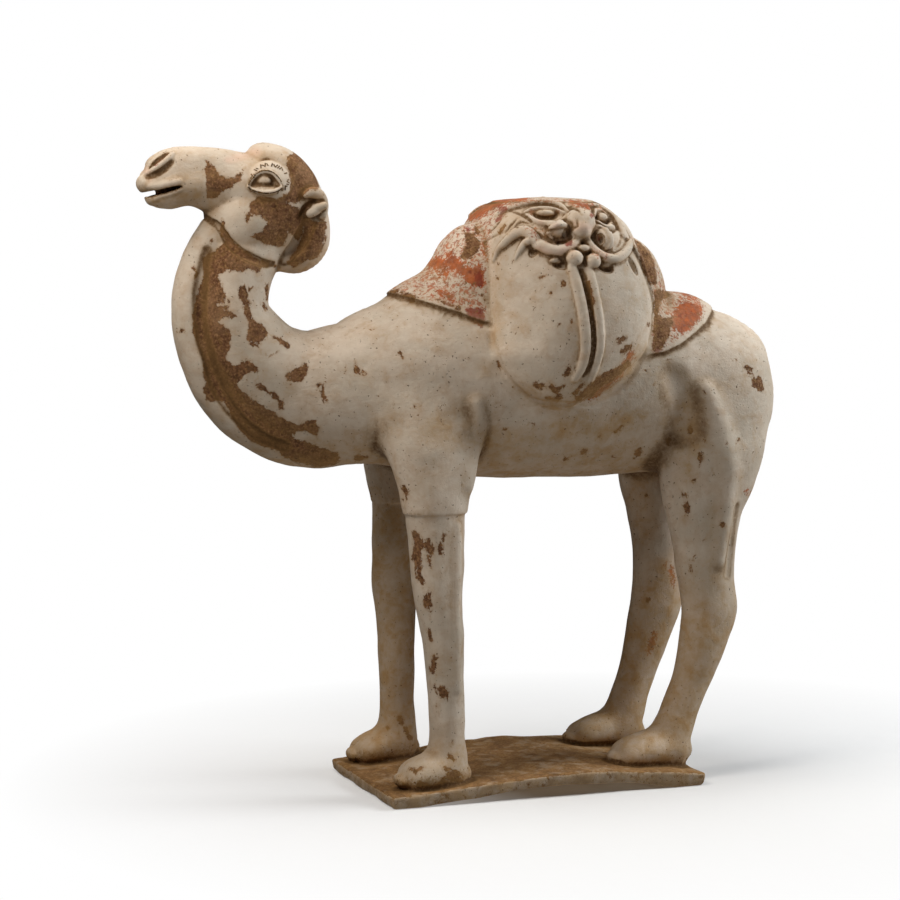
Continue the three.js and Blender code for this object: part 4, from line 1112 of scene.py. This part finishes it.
def slipped_terracotta(tones, names):
    """Grey-brown fired clay, dry and sandy, under a thin coat of white kaolin slip. The slip has a dull
    chalky face with faint brush marks, thin warm spots, pinholes and flaked edges; cold red and orange
    paint clings to it in patches, and burial soil fills its hollows. Hollows and faces that look down
    are also darkened as painted shade, and outward edges are lightened as a painted highlight."""
    material, tree = new_material("Slipped terracotta")
    n = patterns(tree, CAMEL_PATTERNS)
    m = {name: add(tree, "ShaderNodeAttribute", out="Fac", attribute_name=name) for name in names}
    tone = {name: linear(getattr(tones, name)) for name in tones.__annotations__}
    brush = add(tree, MIX, {0: m["upright"], 2: n["brush_level"], 3: n["brush_upright"]})

    clay = tone["clay_dark"]
    for share, colour in (
            (add(tree, RANGE, {0: n["lumps"], 1: 0.36, 2: 0.6}), "clay"),
            (add(tree, RANGE, {0: n["speck"], 1: 0.5, 2: 0.64, 4: 0.5}), "soil"),
            (add(tree, RANGE, {0: n["sand"], 1: 0.52, 2: 0.66, 4: 0.75}), "clay_sand"),
            (add(tree, RANGE, {0: n["sand"], 1: 0.46, 2: 0.36, 4: 0.85}), "dark_soil_and_shade")):
        clay = add(tree, MIX, {0: share, 6: clay, 7: tone[colour]}, 2, data_type="RGBA")

    # Paint breaks up over the tooth of the slip.
    tear = add(tree, MATH, {0: n["torn"], 1: n["fine"]}, operation="ADD")
    tear = add(tree, MATH, {0: tear, 1: -1.0}, operation="ADD")
    orange = add(tree, MATH, {0: tear, 1: 13.0, 2: m["orange"]}, operation="MULTIPLY_ADD")
    red = add(tree, MATH, {0: tear, 1: 6.0, 2: m["deep_red"]}, operation="MULTIPLY_ADD")
    wash = add(tree, MATH, {0: m["wash"], 1: 0.022, 2: n["torn"]}, operation="MULTIPLY_ADD")
    orange_tone = add(tree, MIX, {
        0: add(tree, RANGE, {0: n["lumps"], 1: 0.36, 2: 0.66}), 6: tone["orange_dark"],
        7: tone["orange"]}, 2, data_type="RGBA")
    red_tone = add(tree, MIX, {
        0: add(tree, RANGE, {0: n["lumps"], 1: 0.34, 2: 0.68}), 6: tone["red_dark"],
        7: tone["red"]}, 2, data_type="RGBA")
    coat = tone["slip"]
    for share, colour in (
            (add(tree, RANGE, {0: n["broad"], 1: 0.36, 2: 0.66}), tone["slip_grey"]),
            (add(tree, RANGE, {0: n["middling"], 1: 0.48, 2: 0.7, 4: 0.5}), tone["slip_warm"]),
            (add(tree, RANGE, {0: brush, 1: 0.5, 2: 0.74, 4: 0.2}), tone["slip_warm"]),
            (add(tree, RANGE, {0: brush, 1: 0.46, 2: 0.3, 4: 0.25}), tone["slip_light"]),
            (add(tree, RANGE, {0: m["pink"], 1: -3.0, 2: 3.0, 4: 0.3}), tone["pink"]),
            (add(tree, RANGE, {0: wash, 1: 0.57, 2: 0.64, 4: 0.82}), orange_tone),
            (add(tree, RANGE, {0: orange, 1: -0.8, 2: 1.4, 4: 0.93}), orange_tone),
            (add(tree, RANGE, {0: red, 1: -0.6, 2: 1.0, 4: 0.88}), red_tone)):
        coat = add(tree, MIX, {0: share, 6: coat, 7: colour}, 2, data_type="RGBA")

    # Flakes have ragged outlines a millimetre or two deep, and specks come in clouds.
    wander = add(tree, MATH, {0: n["ragged"], 1: -0.5}, operation="ADD")
    flake = add(tree, MATH, {0: wander, 1: 14.0, 2: m["bare"]}, operation="MULTIPLY_ADD")
    cloud = add(tree, RANGE, {0: n["dirt"], 1: 0.36, 2: 0.68, 3: -0.06, 4: 0.06})
    cloud = add(tree, MATH, {0: m["wash"], 1: 0.006, 2: cloud}, operation="MULTIPLY_ADD")
    specks = add(tree, MATH, {0: n["speck"], 1: cloud}, operation="ADD")
    slab = add(tree, MATH, {0: wander, 1: 1.8, 2: m["slab"]}, operation="MULTIPLY_ADD")
    bare = 0.0
    for share in (
            add(tree, RANGE, {0: flake, 1: -0.2, 2: 0.4}), add(tree, RANGE, {0: specks, 1: 0.624, 2: 0.642}),
            add(tree, RANGE, {0: slab, 1: 0.6, 2: 0.75})):
        bare = add(tree, MATH, {0: bare, 1: share}, operation="MAXIMUM")
    rim = add(tree, MATH, {
        0: add(tree, RANGE, {0: flake, 1: -1.6, 2: -0.2, 4: 0.4}),
        1: add(tree, MATH, {0: 1.0, 1: bare}, operation="SUBTRACT")}, operation="MULTIPLY")

    # Soil dries as a film on the feet and under the belly, and packs into every crease. The film on faces that look
    # down and the soil in the wider hollows also serve as painted shade.
    film = add(tree, MATH, {
        0: m["film"], 1: add(tree, RANGE, {0: n["middling"], 1: 0.3, 2: 0.66, 3: 0.25, 4: 1.0})},
        operation="MULTIPLY")
    dirt = add(tree, RANGE, {0: n["dirt"], 1: 0.5, 2: 0.78, 4: 0.45})
    crust = add(tree, MATH, {0: tear, 1: 1.6, 2: m["crust"]}, operation="MULTIPLY_ADD")
    crease = add(tree, MATH, {
        0: m["cavity"], 1: add(tree, RANGE, {0: n["speck"], 1: 0.34, 2: 0.56, 3: 0.6, 4: 0.9})},
        operation="MULTIPLY")
    dark_slab = add(tree, MATH, {
        0: m["slab"], 1: add(tree, RANGE, {0: n["dirt"], 1: 0.44, 2: 0.62, 4: 0.6})}, operation="MULTIPLY")
    pale_slab = add(tree, MATH, {
        0: m["slab"], 1: add(tree, RANGE, {0: n["middling"], 1: 0.5, 2: 0.68, 4: 0.4})}, operation="MULTIPLY")
    # Outward edges are lightened toward the whitest slip as a painted highlight, less where the slip is gone.
    painted_edge_highlight = add(tree, MATH, {
        0: m["edge"], 1: add(tree, RANGE, {0: bare, 3: 0.35, 4: 0.0})}, operation="MULTIPLY")
    body = coat
    for share, colour in (
            (rim, tone["slip_warm"]),
            (bare, clay),
            (dirt, tone["slip_warm"]),
            # The ochre film also stands in as painted shade on faces that look down.
            (add(tree, MATH, {0: film, 1: 0.8}, operation="MULTIPLY"), tone["ochre"]),
            (dark_slab, tone["dark_soil_and_shade"]),
            (pale_slab, tone["slip_grey"]),
            (add(tree, RANGE, {0: n["pit"], 1: 0.67, 2: 0.71, 4: 0.8}), tone["dark_soil_and_shade"]),
            (add(tree, RANGE, {0: crust, 1: 0.5, 2: 0.9, 4: 0.7}), tone["soil"]),
            (add(tree, RANGE, {0: crust, 1: 1.0, 2: 1.3, 4: 0.7}), tone["dark_soil_and_shade"]),
            (painted_edge_highlight, tone["slip_light"]),
            # Soil and dark soil in the creases also lay painted shade in the hollows.
            (crease, tone["soil"]),
            (add(tree, RANGE, {0: crease, 1: 0.3, 2: 0.85, 4: 0.8}), tone["dark_soil_and_shade"])):
        body = add(tree, MIX, {0: share, 6: body, 7: colour}, 2, data_type="RGBA")

    height = 0.0
    for pattern, depth in (
            (bare, -0.3), (brush, 0.35), (n["middling"], 0.7), (n["fine"], 0.12),
            (add(tree, RANGE, {0: n["pit"], 1: 0.66, 2: 0.74}), -0.3),
            (add(tree, MATH, {0: n["sand"], 1: bare}, operation="MULTIPLY"), 0.45)):
        height = add(tree, MATH, {0: pattern, 1: depth, 2: height}, operation="MULTIPLY_ADD")
    roughness = add(tree, RANGE, {0: bare, 3: 0.78, 4: 0.95})
    finish_material(tree, body, roughness, height, 0.25)
    return material


def brushed_ink(tones):
    """Carbon ink brushed on dry: brown-black and matt, thinner where the brush ran out."""
    material, tree = new_material("Brushed ink")
    n = patterns(tree, {"run": (0.8, 3.0, 0.5, 0.0, EVEN), "tooth": (0.6, 2.0, 0.5, 0.0, EVEN)})
    colour = add(tree, MIX, {
        0: add(tree, RANGE, {0: n["run"], 1: 0.4, 2: 0.75}), 6: linear(tones.ink), 7: linear(tones.soil)},
        2, data_type="RGBA")
    finish_material(tree, colour, 0.9, add(tree, MATH, {0: n["tooth"], 1: 0.05}, operation="MULTIPLY"), 0.2)
    return material


def burial_soil(tones):
    """Dried loess: crumbs of ochre-brown earth, dull and dusty."""
    material, tree = new_material("Burial soil")
    n = patterns(tree, {"clods": (2.0, 4.0, 0.6, 0.0, EVEN), "dust": (0.5, 3.0, 0.5, 0.0, EVEN)})
    colour = add(tree, MIX, {
        0: add(tree, RANGE, {0: n["clods"], 1: 0.35, 2: 0.65}), 6: linear(tones.dark_soil_and_shade),
        7: linear(tones.soil)}, 2, data_type="RGBA")
    finish_material(tree, colour, 1.0, add(tree, MATH, {0: n["dust"], 1: 0.3}, operation="MULTIPLY"), 0.1)
    return material


# The paper keeps its shadows longest round this place, in metres.
WASH_CENTRE = (0.1, 0.0, 0.0)


def matt_paper(tone):
    """White background paper: dead matt, and washed out to plain white away from the camel."""
    material, tree = new_material("Matt paper")
    n = patterns(tree, {"tooth": (30.0, 2.0, 0.5, 0.0, EVEN)})
    shader = finish_material(tree, tone, 1.0, n["tooth"], 0.0)
    place = add(tree, "ShaderNodeTexCoord", out="Object")
    away = add(tree, "ShaderNodeVectorMath", {0: place, 1: WASH_CENTRE}, "Value", operation="DISTANCE")
    glow = add(tree, "ShaderNodeEmission", {"Color": (1.0, 1.0, 1.0, 1.0), "Strength": 1.0})
    washed = add(tree, "ShaderNodeMixShader", {
        0: add(tree, RANGE, {0: away, 1: 0.09, 2: 0.4}), 1: shader, 2: glow})
    tree.links.new(washed, tree.nodes["Material Output"].inputs[0])
    return material


class CamelSizes(bpy.types.PropertyGroup):
    """How finely the camel is modelled, and its small added pieces."""

    grain: FloatProperty(
        name="Clay grain", description="Spacing of the grid that the clay is shaped on, in mm",
        default=0.9, min=0.6, max=3.0)
    quick_grain: FloatProperty(
        name="Quick clay grain", description="The same spacing for a quick look, in mm",
        default=1.5, min=0.6, max=4.0)
    most_faces: IntProperty(
        name="Most triangles", description="How many triangles the finished figure may have",
        default=196000, min=20000, max=199000)
    lash_count: IntProperty(
        name="Lashes", description="Brushed dashes round each eye", default=30, min=0, max=60)
    lash_length: FloatProperty(
        name="Lash length", description="Length of one dash", default=0.0026, unit="LENGTH", subtype="DISTANCE")
    lash_width: FloatProperty(
        name="Lash width", description="Width of one dash", default=0.0007, unit="LENGTH", subtype="DISTANCE")
    lid_count: IntProperty(
        name="Lid dashes", description="Dashes that make the line round each eye", default=64, min=0, max=90)
    lid_width: FloatProperty(
        name="Lid line width", description="Width of the line round the eye", default=0.0009,
        unit="LENGTH", subtype="DISTANCE")
    lid_dash: FloatProperty(
        name="Lid dash length", description="Length of one dash of that line", default=0.0014,
        unit="LENGTH", subtype="DISTANCE")
    crumb_density: FloatProperty(
        name="Crumbs of soil", description="Crumbs on a square metre of the most soiled clay",
        default=60000.0, min=0.0)
    crumb_size: FloatProperty(
        name="Crumb size", description="Width of the widest crumb", default=0.0014, unit="LENGTH",
        subtype="DISTANCE")


class CamelTones(bpy.types.PropertyGroup):
    """The colours of the clay, the slip, the paint and the soil, as sRGB hex."""

    clay: StringProperty(name="Clay", description="Fired clay where the slip is lost", default="#805a3d")
    clay_dark: StringProperty(name="Dark clay", description="Clay that burned darker", default="#5a3a26")
    clay_sand: StringProperty(name="Sand", description="Sand grains in the clay", default="#a98059")
    slip: StringProperty(name="Slip", description="White slip", default="#d8c8b5")
    # Light slip also makes the painted highlight on outward edges.
    slip_light: StringProperty(name="Light slip", description="Slip at its whitest", default="#eadfcf")
    slip_grey: StringProperty(name="Grey slip", description="Slip with a little dirt", default="#c4b6a3")
    slip_warm: StringProperty(name="Thin slip", description="Slip that lets the clay show", default="#b3906a")
    pink: StringProperty(name="Pink", description="Remains of pink wash", default="#d9a48c")
    orange: StringProperty(name="Orange", description="Lead orange paint", default="#c0632f")
    orange_dark: StringProperty(name="Dark orange", description="Orange paint that went brown", default="#86472a")
    red: StringProperty(name="Red", description="Haematite red paint", default="#9a3f2c")
    red_dark: StringProperty(name="Dark red", description="Red paint that went brown", default="#6a2a1c")
    # Ochre also makes the painted shade on faces that look down.
    ochre: StringProperty(name="Ochre", description="Film of fine yellow earth", default="#b38b55")
    # Soil and dark soil also make the painted shade in creases and hollows.
    soil: StringProperty(name="Soil", description="Film of burial soil", default="#9a7645")
    dark_soil_and_shade: StringProperty(name="Dark soil", description="Soil packed in creases", default="#553a20")
    ink: StringProperty(name="Ink", description="Ink round the eyes", default="#2a2018")


class CamelStudio(bpy.types.PropertyGroup):
    """The light on the camel."""

    head_power: FloatProperty(
        name="Head light", description="Power of the small light near the head", default=1.0, unit="POWER")
    left_power: FloatProperty(
        name="Left light", description="Power of the high light before the head", default=3.9, unit="POWER")
    top_power: FloatProperty(
        name="Top light", description="Power of the light straight above", default=7.0, unit="POWER")
    right_power: FloatProperty(
        name="Right light", description="Power of the light beside the tail", default=10.8, unit="POWER")
    low_power: FloatProperty(
        name="Low light", description="Power of the card beside the feet", default=0.32, unit="POWER")
    bounce: FloatProperty(
        name="Bounce", description="Strength of the light that the floor throws back", default=0.32, min=0.0)
    sky: FloatProperty(
        name="Sky", description="Strength of the even light from all round", default=0.015, min=0.0)
    floor_tone: FloatVectorProperty(
        name="Floor", description="Colour of the floor", default=(0.86, 0.855, 0.85), subtype="COLOR")


def register_piece(obj):
    """Ties a finished piece to the frame."""
    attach(obj, "root")
    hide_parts(NODE)


def shown(name, mesh):
    """A mesh as an object at the origin, in the scene."""
    obj = bpy.data.objects.new(name, mesh)
    bpy.context.scene.collection.objects.link(obj)
    return obj


class CAMEL_OT_figure(bpy.types.Operator):
    """Models the camel, its load and its slab as one piece of clay"""

    bl_idname = "camel.figure"
    bl_label = "Camel Figure"

    def execute(self, context):
        sizes = context.scene.camel_sizes
        clay = lay_camel(sizes.grain)

        def fine_part(places):
            x, y, z = places.T
            head = (x < -98) & (z > 328)
            mask = (np.abs(y) > 28) & (z > 325) & (x > -8) & (x < 100)
            return head | mask

        mesh = thinned(skin_mesh(clay, "camel"), fine_part, sizes.most_faces)
        if not len(mesh.polygons):
            raise RuntimeError("the clay has no surface")
        mesh.name = "camel"
        names = set_marks(mesh, clay)
        mesh.materials.append(slipped_terracotta(context.scene.camel_tones, names))
        register_piece(shown("camel", mesh))
        return {"FINISHED"}


def socket_id(tree, name):
    """The identifier of a tree's input, which a modifier knows it by."""
    return next(item.identifier for item in tree.interface.items_tree
                if item.item_type == "SOCKET" and item.in_out == "INPUT" and item.name == name)


def new_tree(name, inputs):
    """A geometry tree with named inputs: the tree, its inputs by name and the socket that takes its result."""
    tree = bpy.data.node_groups.new(name, "GeometryNodeTree")
    for label, kind in inputs.items():
        tree.interface.new_socket(name=label, in_out="INPUT", socket_type=kind)
    tree.interface.new_socket(name="Geometry", in_out="OUTPUT", socket_type="NodeSocketGeometry")
    given = add(tree, "NodeGroupInput", out=None).outputs
    return tree, given, add(tree, "NodeGroupOutput", out=None).inputs[0]


def grown(name, tree, host, settings):
    """The plain mesh that a tree makes on a host mesh with these settings."""
    obj = shown(name, host)
    modifier = obj.modifiers.new("grow", "NODES")
    modifier.node_group = tree
    for label, value in settings.items():
        modifier[socket_id(tree, label)] = value
    depsgraph = bpy.context.evaluated_depsgraph_get()
    mesh = bpy.data.meshes.new_from_object(obj.evaluated_get(depsgraph))
    bpy.data.objects.remove(obj)
    mesh.name = name
    return mesh


# Arcs round the eye: middle, half length, heights over and under it, pinch of the ends, and from where to where.
LASH_ARC = {"at": [-141.8, 387.4], "long": 11.2, "up": 9.6, "down": 7.6, "pinch": 0.0, "turn": [-70, 165]}
LID_ARC = {"at": [-145.2, 383.5], "long": 10.2, "up": 9.8, "down": 4.2, "pinch": 0.3, "turn": [0, 360]}
# How far out the arcs start, before their dashes are dropped on to the clay, in mm.
ARC_OUT = 40


def arc_host(arc):
    """An arc beside each eye, as edges. Its pinch draws the two ends out, as on an almond."""
    points, edges = [], []
    for side in (NEAR, FAR_SIDE):
        first = len(points)
        for t in np.radians(np.linspace(*arc["turn"], 96)):
            high = arc["up"] if math.sin(t) > 0 else arc["down"]
            x = arc["at"][0] + arc["long"] * math.cos(t)
            z = arc["at"][1] + high * math.sin(t) * abs(math.sin(t)) ** arc["pinch"]
            points.append(((x + LAYOUT_SHIFT) * MM, side * ARC_OUT * MM, z * MM))
        edges += [(i, i + 1) for i in range(first, len(points) - 1)]
    host = bpy.data.meshes.new("arc")
    host.from_pydata(points, edges, [])
    return host


def lashes_tree():
    """Short dashes that stand across an arc and lie on the clay under it."""
    tree, given, end = new_tree("Lashes", {
        "Geometry": "NodeSocketGeometry", "Clay": "NodeSocketObject", "Count": "NodeSocketInt",
        "Across": "NodeSocketFloat", "Along": "NodeSocketFloat", "Kept": "NodeSocketFloat",
        "Sway": "NodeSocketFloat", "Seed": "NodeSocketInt", "Ink": "NodeSocketMaterial"})
    curve = add(tree, "GeometryNodeMeshToCurve", {"Mesh": given["Geometry"]})
    points = add(tree, "GeometryNodeResampleCurve", {"Curve": curve, "Count": given["Count"]}, mode="COUNT")
    along = add(tree, "FunctionNodeAlignEulerToVector", {
        "Vector": add(tree, "GeometryNodeInputTangent")}, axis="X")
    sway = add(tree, "FunctionNodeRandomValue", {"Min": -1.0, "Max": 1.0, "Seed": given["Seed"]}, 1,
               data_type="FLOAT")
    spin = add(tree, "ShaderNodeCombineXYZ", {
        "Y": add(tree, MATH, {0: sway, 1: given["Sway"]}, operation="MULTIPLY")})
    turned = add(tree, "FunctionNodeRotateEuler", {"Rotation": along, "Rotate By": spin}, space="LOCAL")
    kept = add(tree, "FunctionNodeRandomValue", {"Probability": given["Kept"], "Seed": given["Seed"]}, 3,
               data_type="BOOLEAN")
    stretch = add(tree, "FunctionNodeRandomValue", {"Min": 0.4, "Max": 1.2, "Seed": given["Seed"]}, 1,
                  data_type="FLOAT")
    form = add(tree, "ShaderNodeCombineXYZ", {"X": given["Along"], "Y": 0.0008, "Z": given["Across"]})
    dash = add(tree, "GeometryNodeMeshCube", {
        "Size": form, "Vertices X": 2, "Vertices Y": 2, "Vertices Z": 6})
    placed = add(tree, "GeometryNodeInstanceOnPoints", {
        "Points": points, "Selection": kept, "Instance": dash, "Rotation": turned,
        "Scale": add(tree, "ShaderNodeCombineXYZ", {"X": 1.0, "Y": 1.0, "Z": stretch})})
    real = add(tree, "GeometryNodeRealizeInstances", {"Geometry": placed})

    # Each point is dropped inwards on to the clay, and keeps a share of its height over the arc.
    place = add(tree, "ShaderNodeSeparateXYZ", {"Vector": add(tree, "GeometryNodeInputPosition")}, None).outputs
    side = add(tree, MATH, {0: place["Y"]}, operation="SIGN")
    start = add(tree, MATH, {0: side, 1: ARC_OUT * MM}, operation="MULTIPLY")
    proud = add(tree, MATH, {0: place["Y"], 1: start}, operation="SUBTRACT")
    hit = add(tree, "GeometryNodeRaycast", {
        "Target Geometry": add(tree, "GeometryNodeObjectInfo", {"Object": given["Clay"]}, "Geometry",
                               transform_space="RELATIVE"),
        "Source Position": add(tree, "ShaderNodeCombineXYZ", {"X": place["X"], "Y": start, "Z": place["Z"]}),
        "Ray Direction": add(tree, "ShaderNodeCombineXYZ", {
            "Y": add(tree, MATH, {0: side, 1: -1.0}, operation="MULTIPLY")}),
        "Ray Length": 0.05}, None, data_type="FLOAT").outputs
    sunk = add(tree, MATH, {0: proud, 1: 0.5}, operation="MULTIPLY")
    landed = add(tree, "ShaderNodeVectorMath", {
        0: hit["Hit Position"], 1: add(tree, "ShaderNodeCombineXYZ", {"Y": sunk})}, operation="ADD")
    laid = add(tree, "GeometryNodeSetPosition", {
        "Geometry": real, "Selection": hit["Is Hit"], "Position": landed})
    tree.links.new(add(tree, "GeometryNodeSetMaterial", {"Geometry": laid, "Material": given["Ink"]}), end)
    return tree


class CAMEL_OT_lashes(bpy.types.Operator):
    """Brushes the ink lashes and the line of the lids round both eyes"""

    bl_idname = "camel.lashes"
    bl_label = "Eye Lashes"

    def execute(self, context):
        sizes = context.scene.camel_sizes
        tree = lashes_tree()
        same = {"Clay": bpy.data.objects["camel"], "Seed": 7, "Ink": brushed_ink(context.scene.camel_tones)}
        lashes = grown("eye_lashes", tree, arc_host(LASH_ARC), {
            **same, "Count": sizes.lash_count, "Across": sizes.lash_length, "Along": sizes.lash_width,
            "Kept": 0.75, "Sway": 0.9})
        lids = grown("lid_lines", tree, arc_host(LID_ARC), {
            **same, "Count": sizes.lid_count, "Across": sizes.lid_width, "Along": sizes.lid_dash,
            "Kept": 0.93, "Sway": 0.2})
        if not (len(lashes.polygons) and len(lids.polygons)):
            raise RuntimeError("no lashes grew")
        both = bmesh.new()
        both.from_mesh(lashes)
        both.from_mesh(lids)
        both.to_mesh(lashes)
        both.free()
        bpy.data.meshes.remove(lids)
        register_piece(shown("eye_lashes", lashes))
        return {"FINISHED"}


def crumbs_tree():
    """Few-faced crumbs scattered over the clay where it carries a crust of soil."""
    tree, given, end = new_tree("Soil crumbs", {
        "Geometry": "NodeSocketGeometry", "Density": "NodeSocketFloat", "Size": "NodeSocketFloat",
        "Seed": "NodeSocketInt", "Soil": "NodeSocketMaterial"})
    crust = add(tree, "GeometryNodeInputNamedAttribute", {"Name": "crust"}, data_type="FLOAT")
    clump = add(tree, RANGE, {
        0: add(tree, "ShaderNodeTexNoise", {"Scale": 110.0, "Detail": 3.0}), 1: 0.46, 2: 0.62})
    share = add(tree, MATH, {0: crust, 1: clump}, operation="MULTIPLY")
    points = add(tree, "GeometryNodeDistributePointsOnFaces", {
        "Mesh": given["Geometry"], "Seed": given["Seed"],
        "Density": add(tree, MATH, {0: share, 1: given["Density"]}, operation="MULTIPLY")}, None).outputs
    size = add(tree, MATH, {
        0: add(tree, "FunctionNodeRandomValue", {"Min": 0.35, "Max": 1.0, "Seed": given["Seed"]}, 1,
               data_type="FLOAT"),
        1: given["Size"]}, operation="MULTIPLY")
    low = add(tree, MATH, {0: size, 1: 0.55}, operation="MULTIPLY")
    placed = add(tree, "GeometryNodeInstanceOnPoints", {
        "Points": points["Points"], "Instance": add(tree, "GeometryNodeMeshIcoSphere", {
            "Radius": 0.5, "Subdivisions": 1}),
        "Rotation": points["Rotation"], "Scale": add(tree, "ShaderNodeCombineXYZ", {
            "X": size, "Y": size, "Z": low})})
    real = add(tree, "GeometryNodeRealizeInstances", {"Geometry": placed})
    tree.links.new(add(tree, "GeometryNodeSetMaterial", {"Geometry": real, "Material": given["Soil"]}), end)
    return tree


class CAMEL_OT_crumbs(bpy.types.Operator):
    """Scatters the crumbs of burial soil that cling round the feet"""

    bl_idname = "camel.crumbs"
    bl_label = "Soil Crumbs"

    def execute(self, context):
        sizes = context.scene.camel_sizes
        host = bpy.data.objects["camel"].data.copy()
        mesh = grown("soil_crumbs", crumbs_tree(), host, {
            "Density": sizes.crumb_density, "Size": sizes.crumb_size, "Seed": 11,
            "Soil": burial_soil(context.scene.camel_tones)})
        bpy.data.meshes.remove(host)
        if not len(mesh.polygons):
            raise RuntimeError("no crumbs were scattered")
        register_piece(shown("soil_crumbs", mesh))
        return {"FINISHED"}


def metres(places):
    """Millimetres as a Blender vector in metres."""
    return Vector([float(v) * MM for v in places])


LIGHT_AIM = [-40, 0, 220]
WARM = (1.0, 0.94, 0.87)
NEUTRAL = (1.0, 0.98, 0.95)
COOL = (0.93, 0.97, 1.0)


def soft_light(name, place, width, power, tint):
    """A square light that looks at the camel's middle; places and width are in mm."""
    light = bpy.data.lights.new(name, "AREA")
    light.shape = "SQUARE"
    light.size = width * MM
    light.energy = power
    light.color = tint
    obj = bpy.data.objects.new(name, light)
    obj.location = metres(place)
    obj.rotation_euler = (metres(LIGHT_AIM) - obj.location).to_track_quat("-Z", "Y").to_euler()
    bpy.context.scene.collection.objects.link(obj)


class CAMEL_OT_studio(bpy.types.Operator):
    """Sets up the pale floor, the soft light and the camera"""

    bl_idname = "camel.studio"
    bl_label = "Studio"

    def execute(self, context):
        studio = context.scene.camel_studio
        reach = 30.0
        floor_mesh = bpy.data.meshes.new("floor")
        corners = [(-reach, -reach, 0), (reach, -reach, 0), (reach, reach, 0), (-reach, reach, 0)]
        floor_mesh.from_pydata(corners, [], [(0, 1, 2, 3)])
        floor_mesh.materials.append(matt_paper([*studio.floor_tone, 1.0]))
        floor = shown("floor", floor_mesh)
        # The world gives the light that a floor would throw back, softer than this one could.
        floor.visible_diffuse = False
        floor.visible_glossy = False

        world = bpy.data.worlds.new("Studio")
        world.use_nodes = True
        tree = world.node_tree
        tree.nodes.clear()
        seen = add(tree, "ShaderNodeLightPath", out="Is Camera Ray")
        around = add(tree, "ShaderNodeTexCoord", out="Generated")
        height = add(tree, "ShaderNodeSeparateXYZ", {"Vector": around}, "Z")
        power = add(tree, RANGE, {0: height, 1: -0.05, 2: -0.6, 3: studio.sky, 4: studio.bounce})
        light = add(tree, "ShaderNodeBackground", {"Color": (1.0, 0.97, 0.93, 1.0), "Strength": power})
        white = add(tree, "ShaderNodeBackground", {"Color": (1.0, 1.0, 1.0, 1.0), "Strength": 1.0})
        both = add(tree, "ShaderNodeMixShader", {0: seen, 1: light, 2: white})
        add(tree, "ShaderNodeOutputWorld", {0: both}, None)
        context.scene.world = world
        context.scene.view_settings.view_transform = "Standard"

        soft_light("head", (-420, -260, 620), 200, studio.head_power, WARM)
        soft_light("left", (-700, -100, 1000), 400, studio.left_power, WARM)
        soft_light("top", (-100, 80, 1500), 700, studio.top_power, NEUTRAL)
        soft_light("right", (960, -210, 800), 430, studio.right_power, COOL)
        soft_light("low", (20, -480, 60), 300, studio.low_power, NEUTRAL)

        camera = bpy.data.cameras.new("camera")
        camera.lens = LENS
        camera.sensor_width = SENSOR
        camera.clip_start = 0.05
        camera.clip_end = 50
        viewer = bpy.data.objects.new("camera", camera)
        viewer.location = metres(VIEW_AIM + VIEW_BACK * VIEW_REACH)
        viewer.rotation_euler = (metres(VIEW_AIM) - viewer.location).to_track_quat("-Z", "Y").to_euler()
        context.scene.collection.objects.link(viewer)
        context.scene.camera = viewer
        return {"FINISHED"}


class CAMEL_PT_panel(bpy.types.Panel):
    """Lists the steps that make the camel"""

    bl_label = "Camel"
    bl_idname = "CAMEL_PT_panel"
    bl_space_type = "VIEW_3D"
    bl_region_type = "UI"
    bl_category = "Camel"

    def draw(self, context):
        layout = self.layout
        for group in (context.scene.camel_sizes, context.scene.camel_tones, context.scene.camel_studio):
            box = layout.box()
            for name in group.__annotations__:
                box.prop(group, name)
        for step in STEPS:
            layout.operator(step.bl_idname)


STEPS = (CAMEL_OT_studio, CAMEL_OT_figure, CAMEL_OT_lashes, CAMEL_OT_crumbs)
CLASSES = (CamelSizes, CamelTones, CamelStudio, *STEPS, CAMEL_PT_panel)


def register():
    """Makes the properties, operators and panel known to Blender."""
    for cls in CLASSES:
        bpy.utils.register_class(cls)
    bpy.types.Scene.camel_sizes = PointerProperty(type=CamelSizes)
    bpy.types.Scene.camel_tones = PointerProperty(type=CamelTones)
    bpy.types.Scene.camel_studio = PointerProperty(type=CamelStudio)


def unregister():
    """Takes them away again."""
    del bpy.types.Scene.camel_studio
    del bpy.types.Scene.camel_tones
    del bpy.types.Scene.camel_sizes
    for cls in reversed(CLASSES):
        bpy.utils.unregister_class(cls)


def main():
    """Makes the whole scene."""
    register()
    for step in STEPS:
        group, name = step.bl_idname.split(".")
        getattr(getattr(bpy.ops, group), name)()


if __name__ == "__main__":
    main()
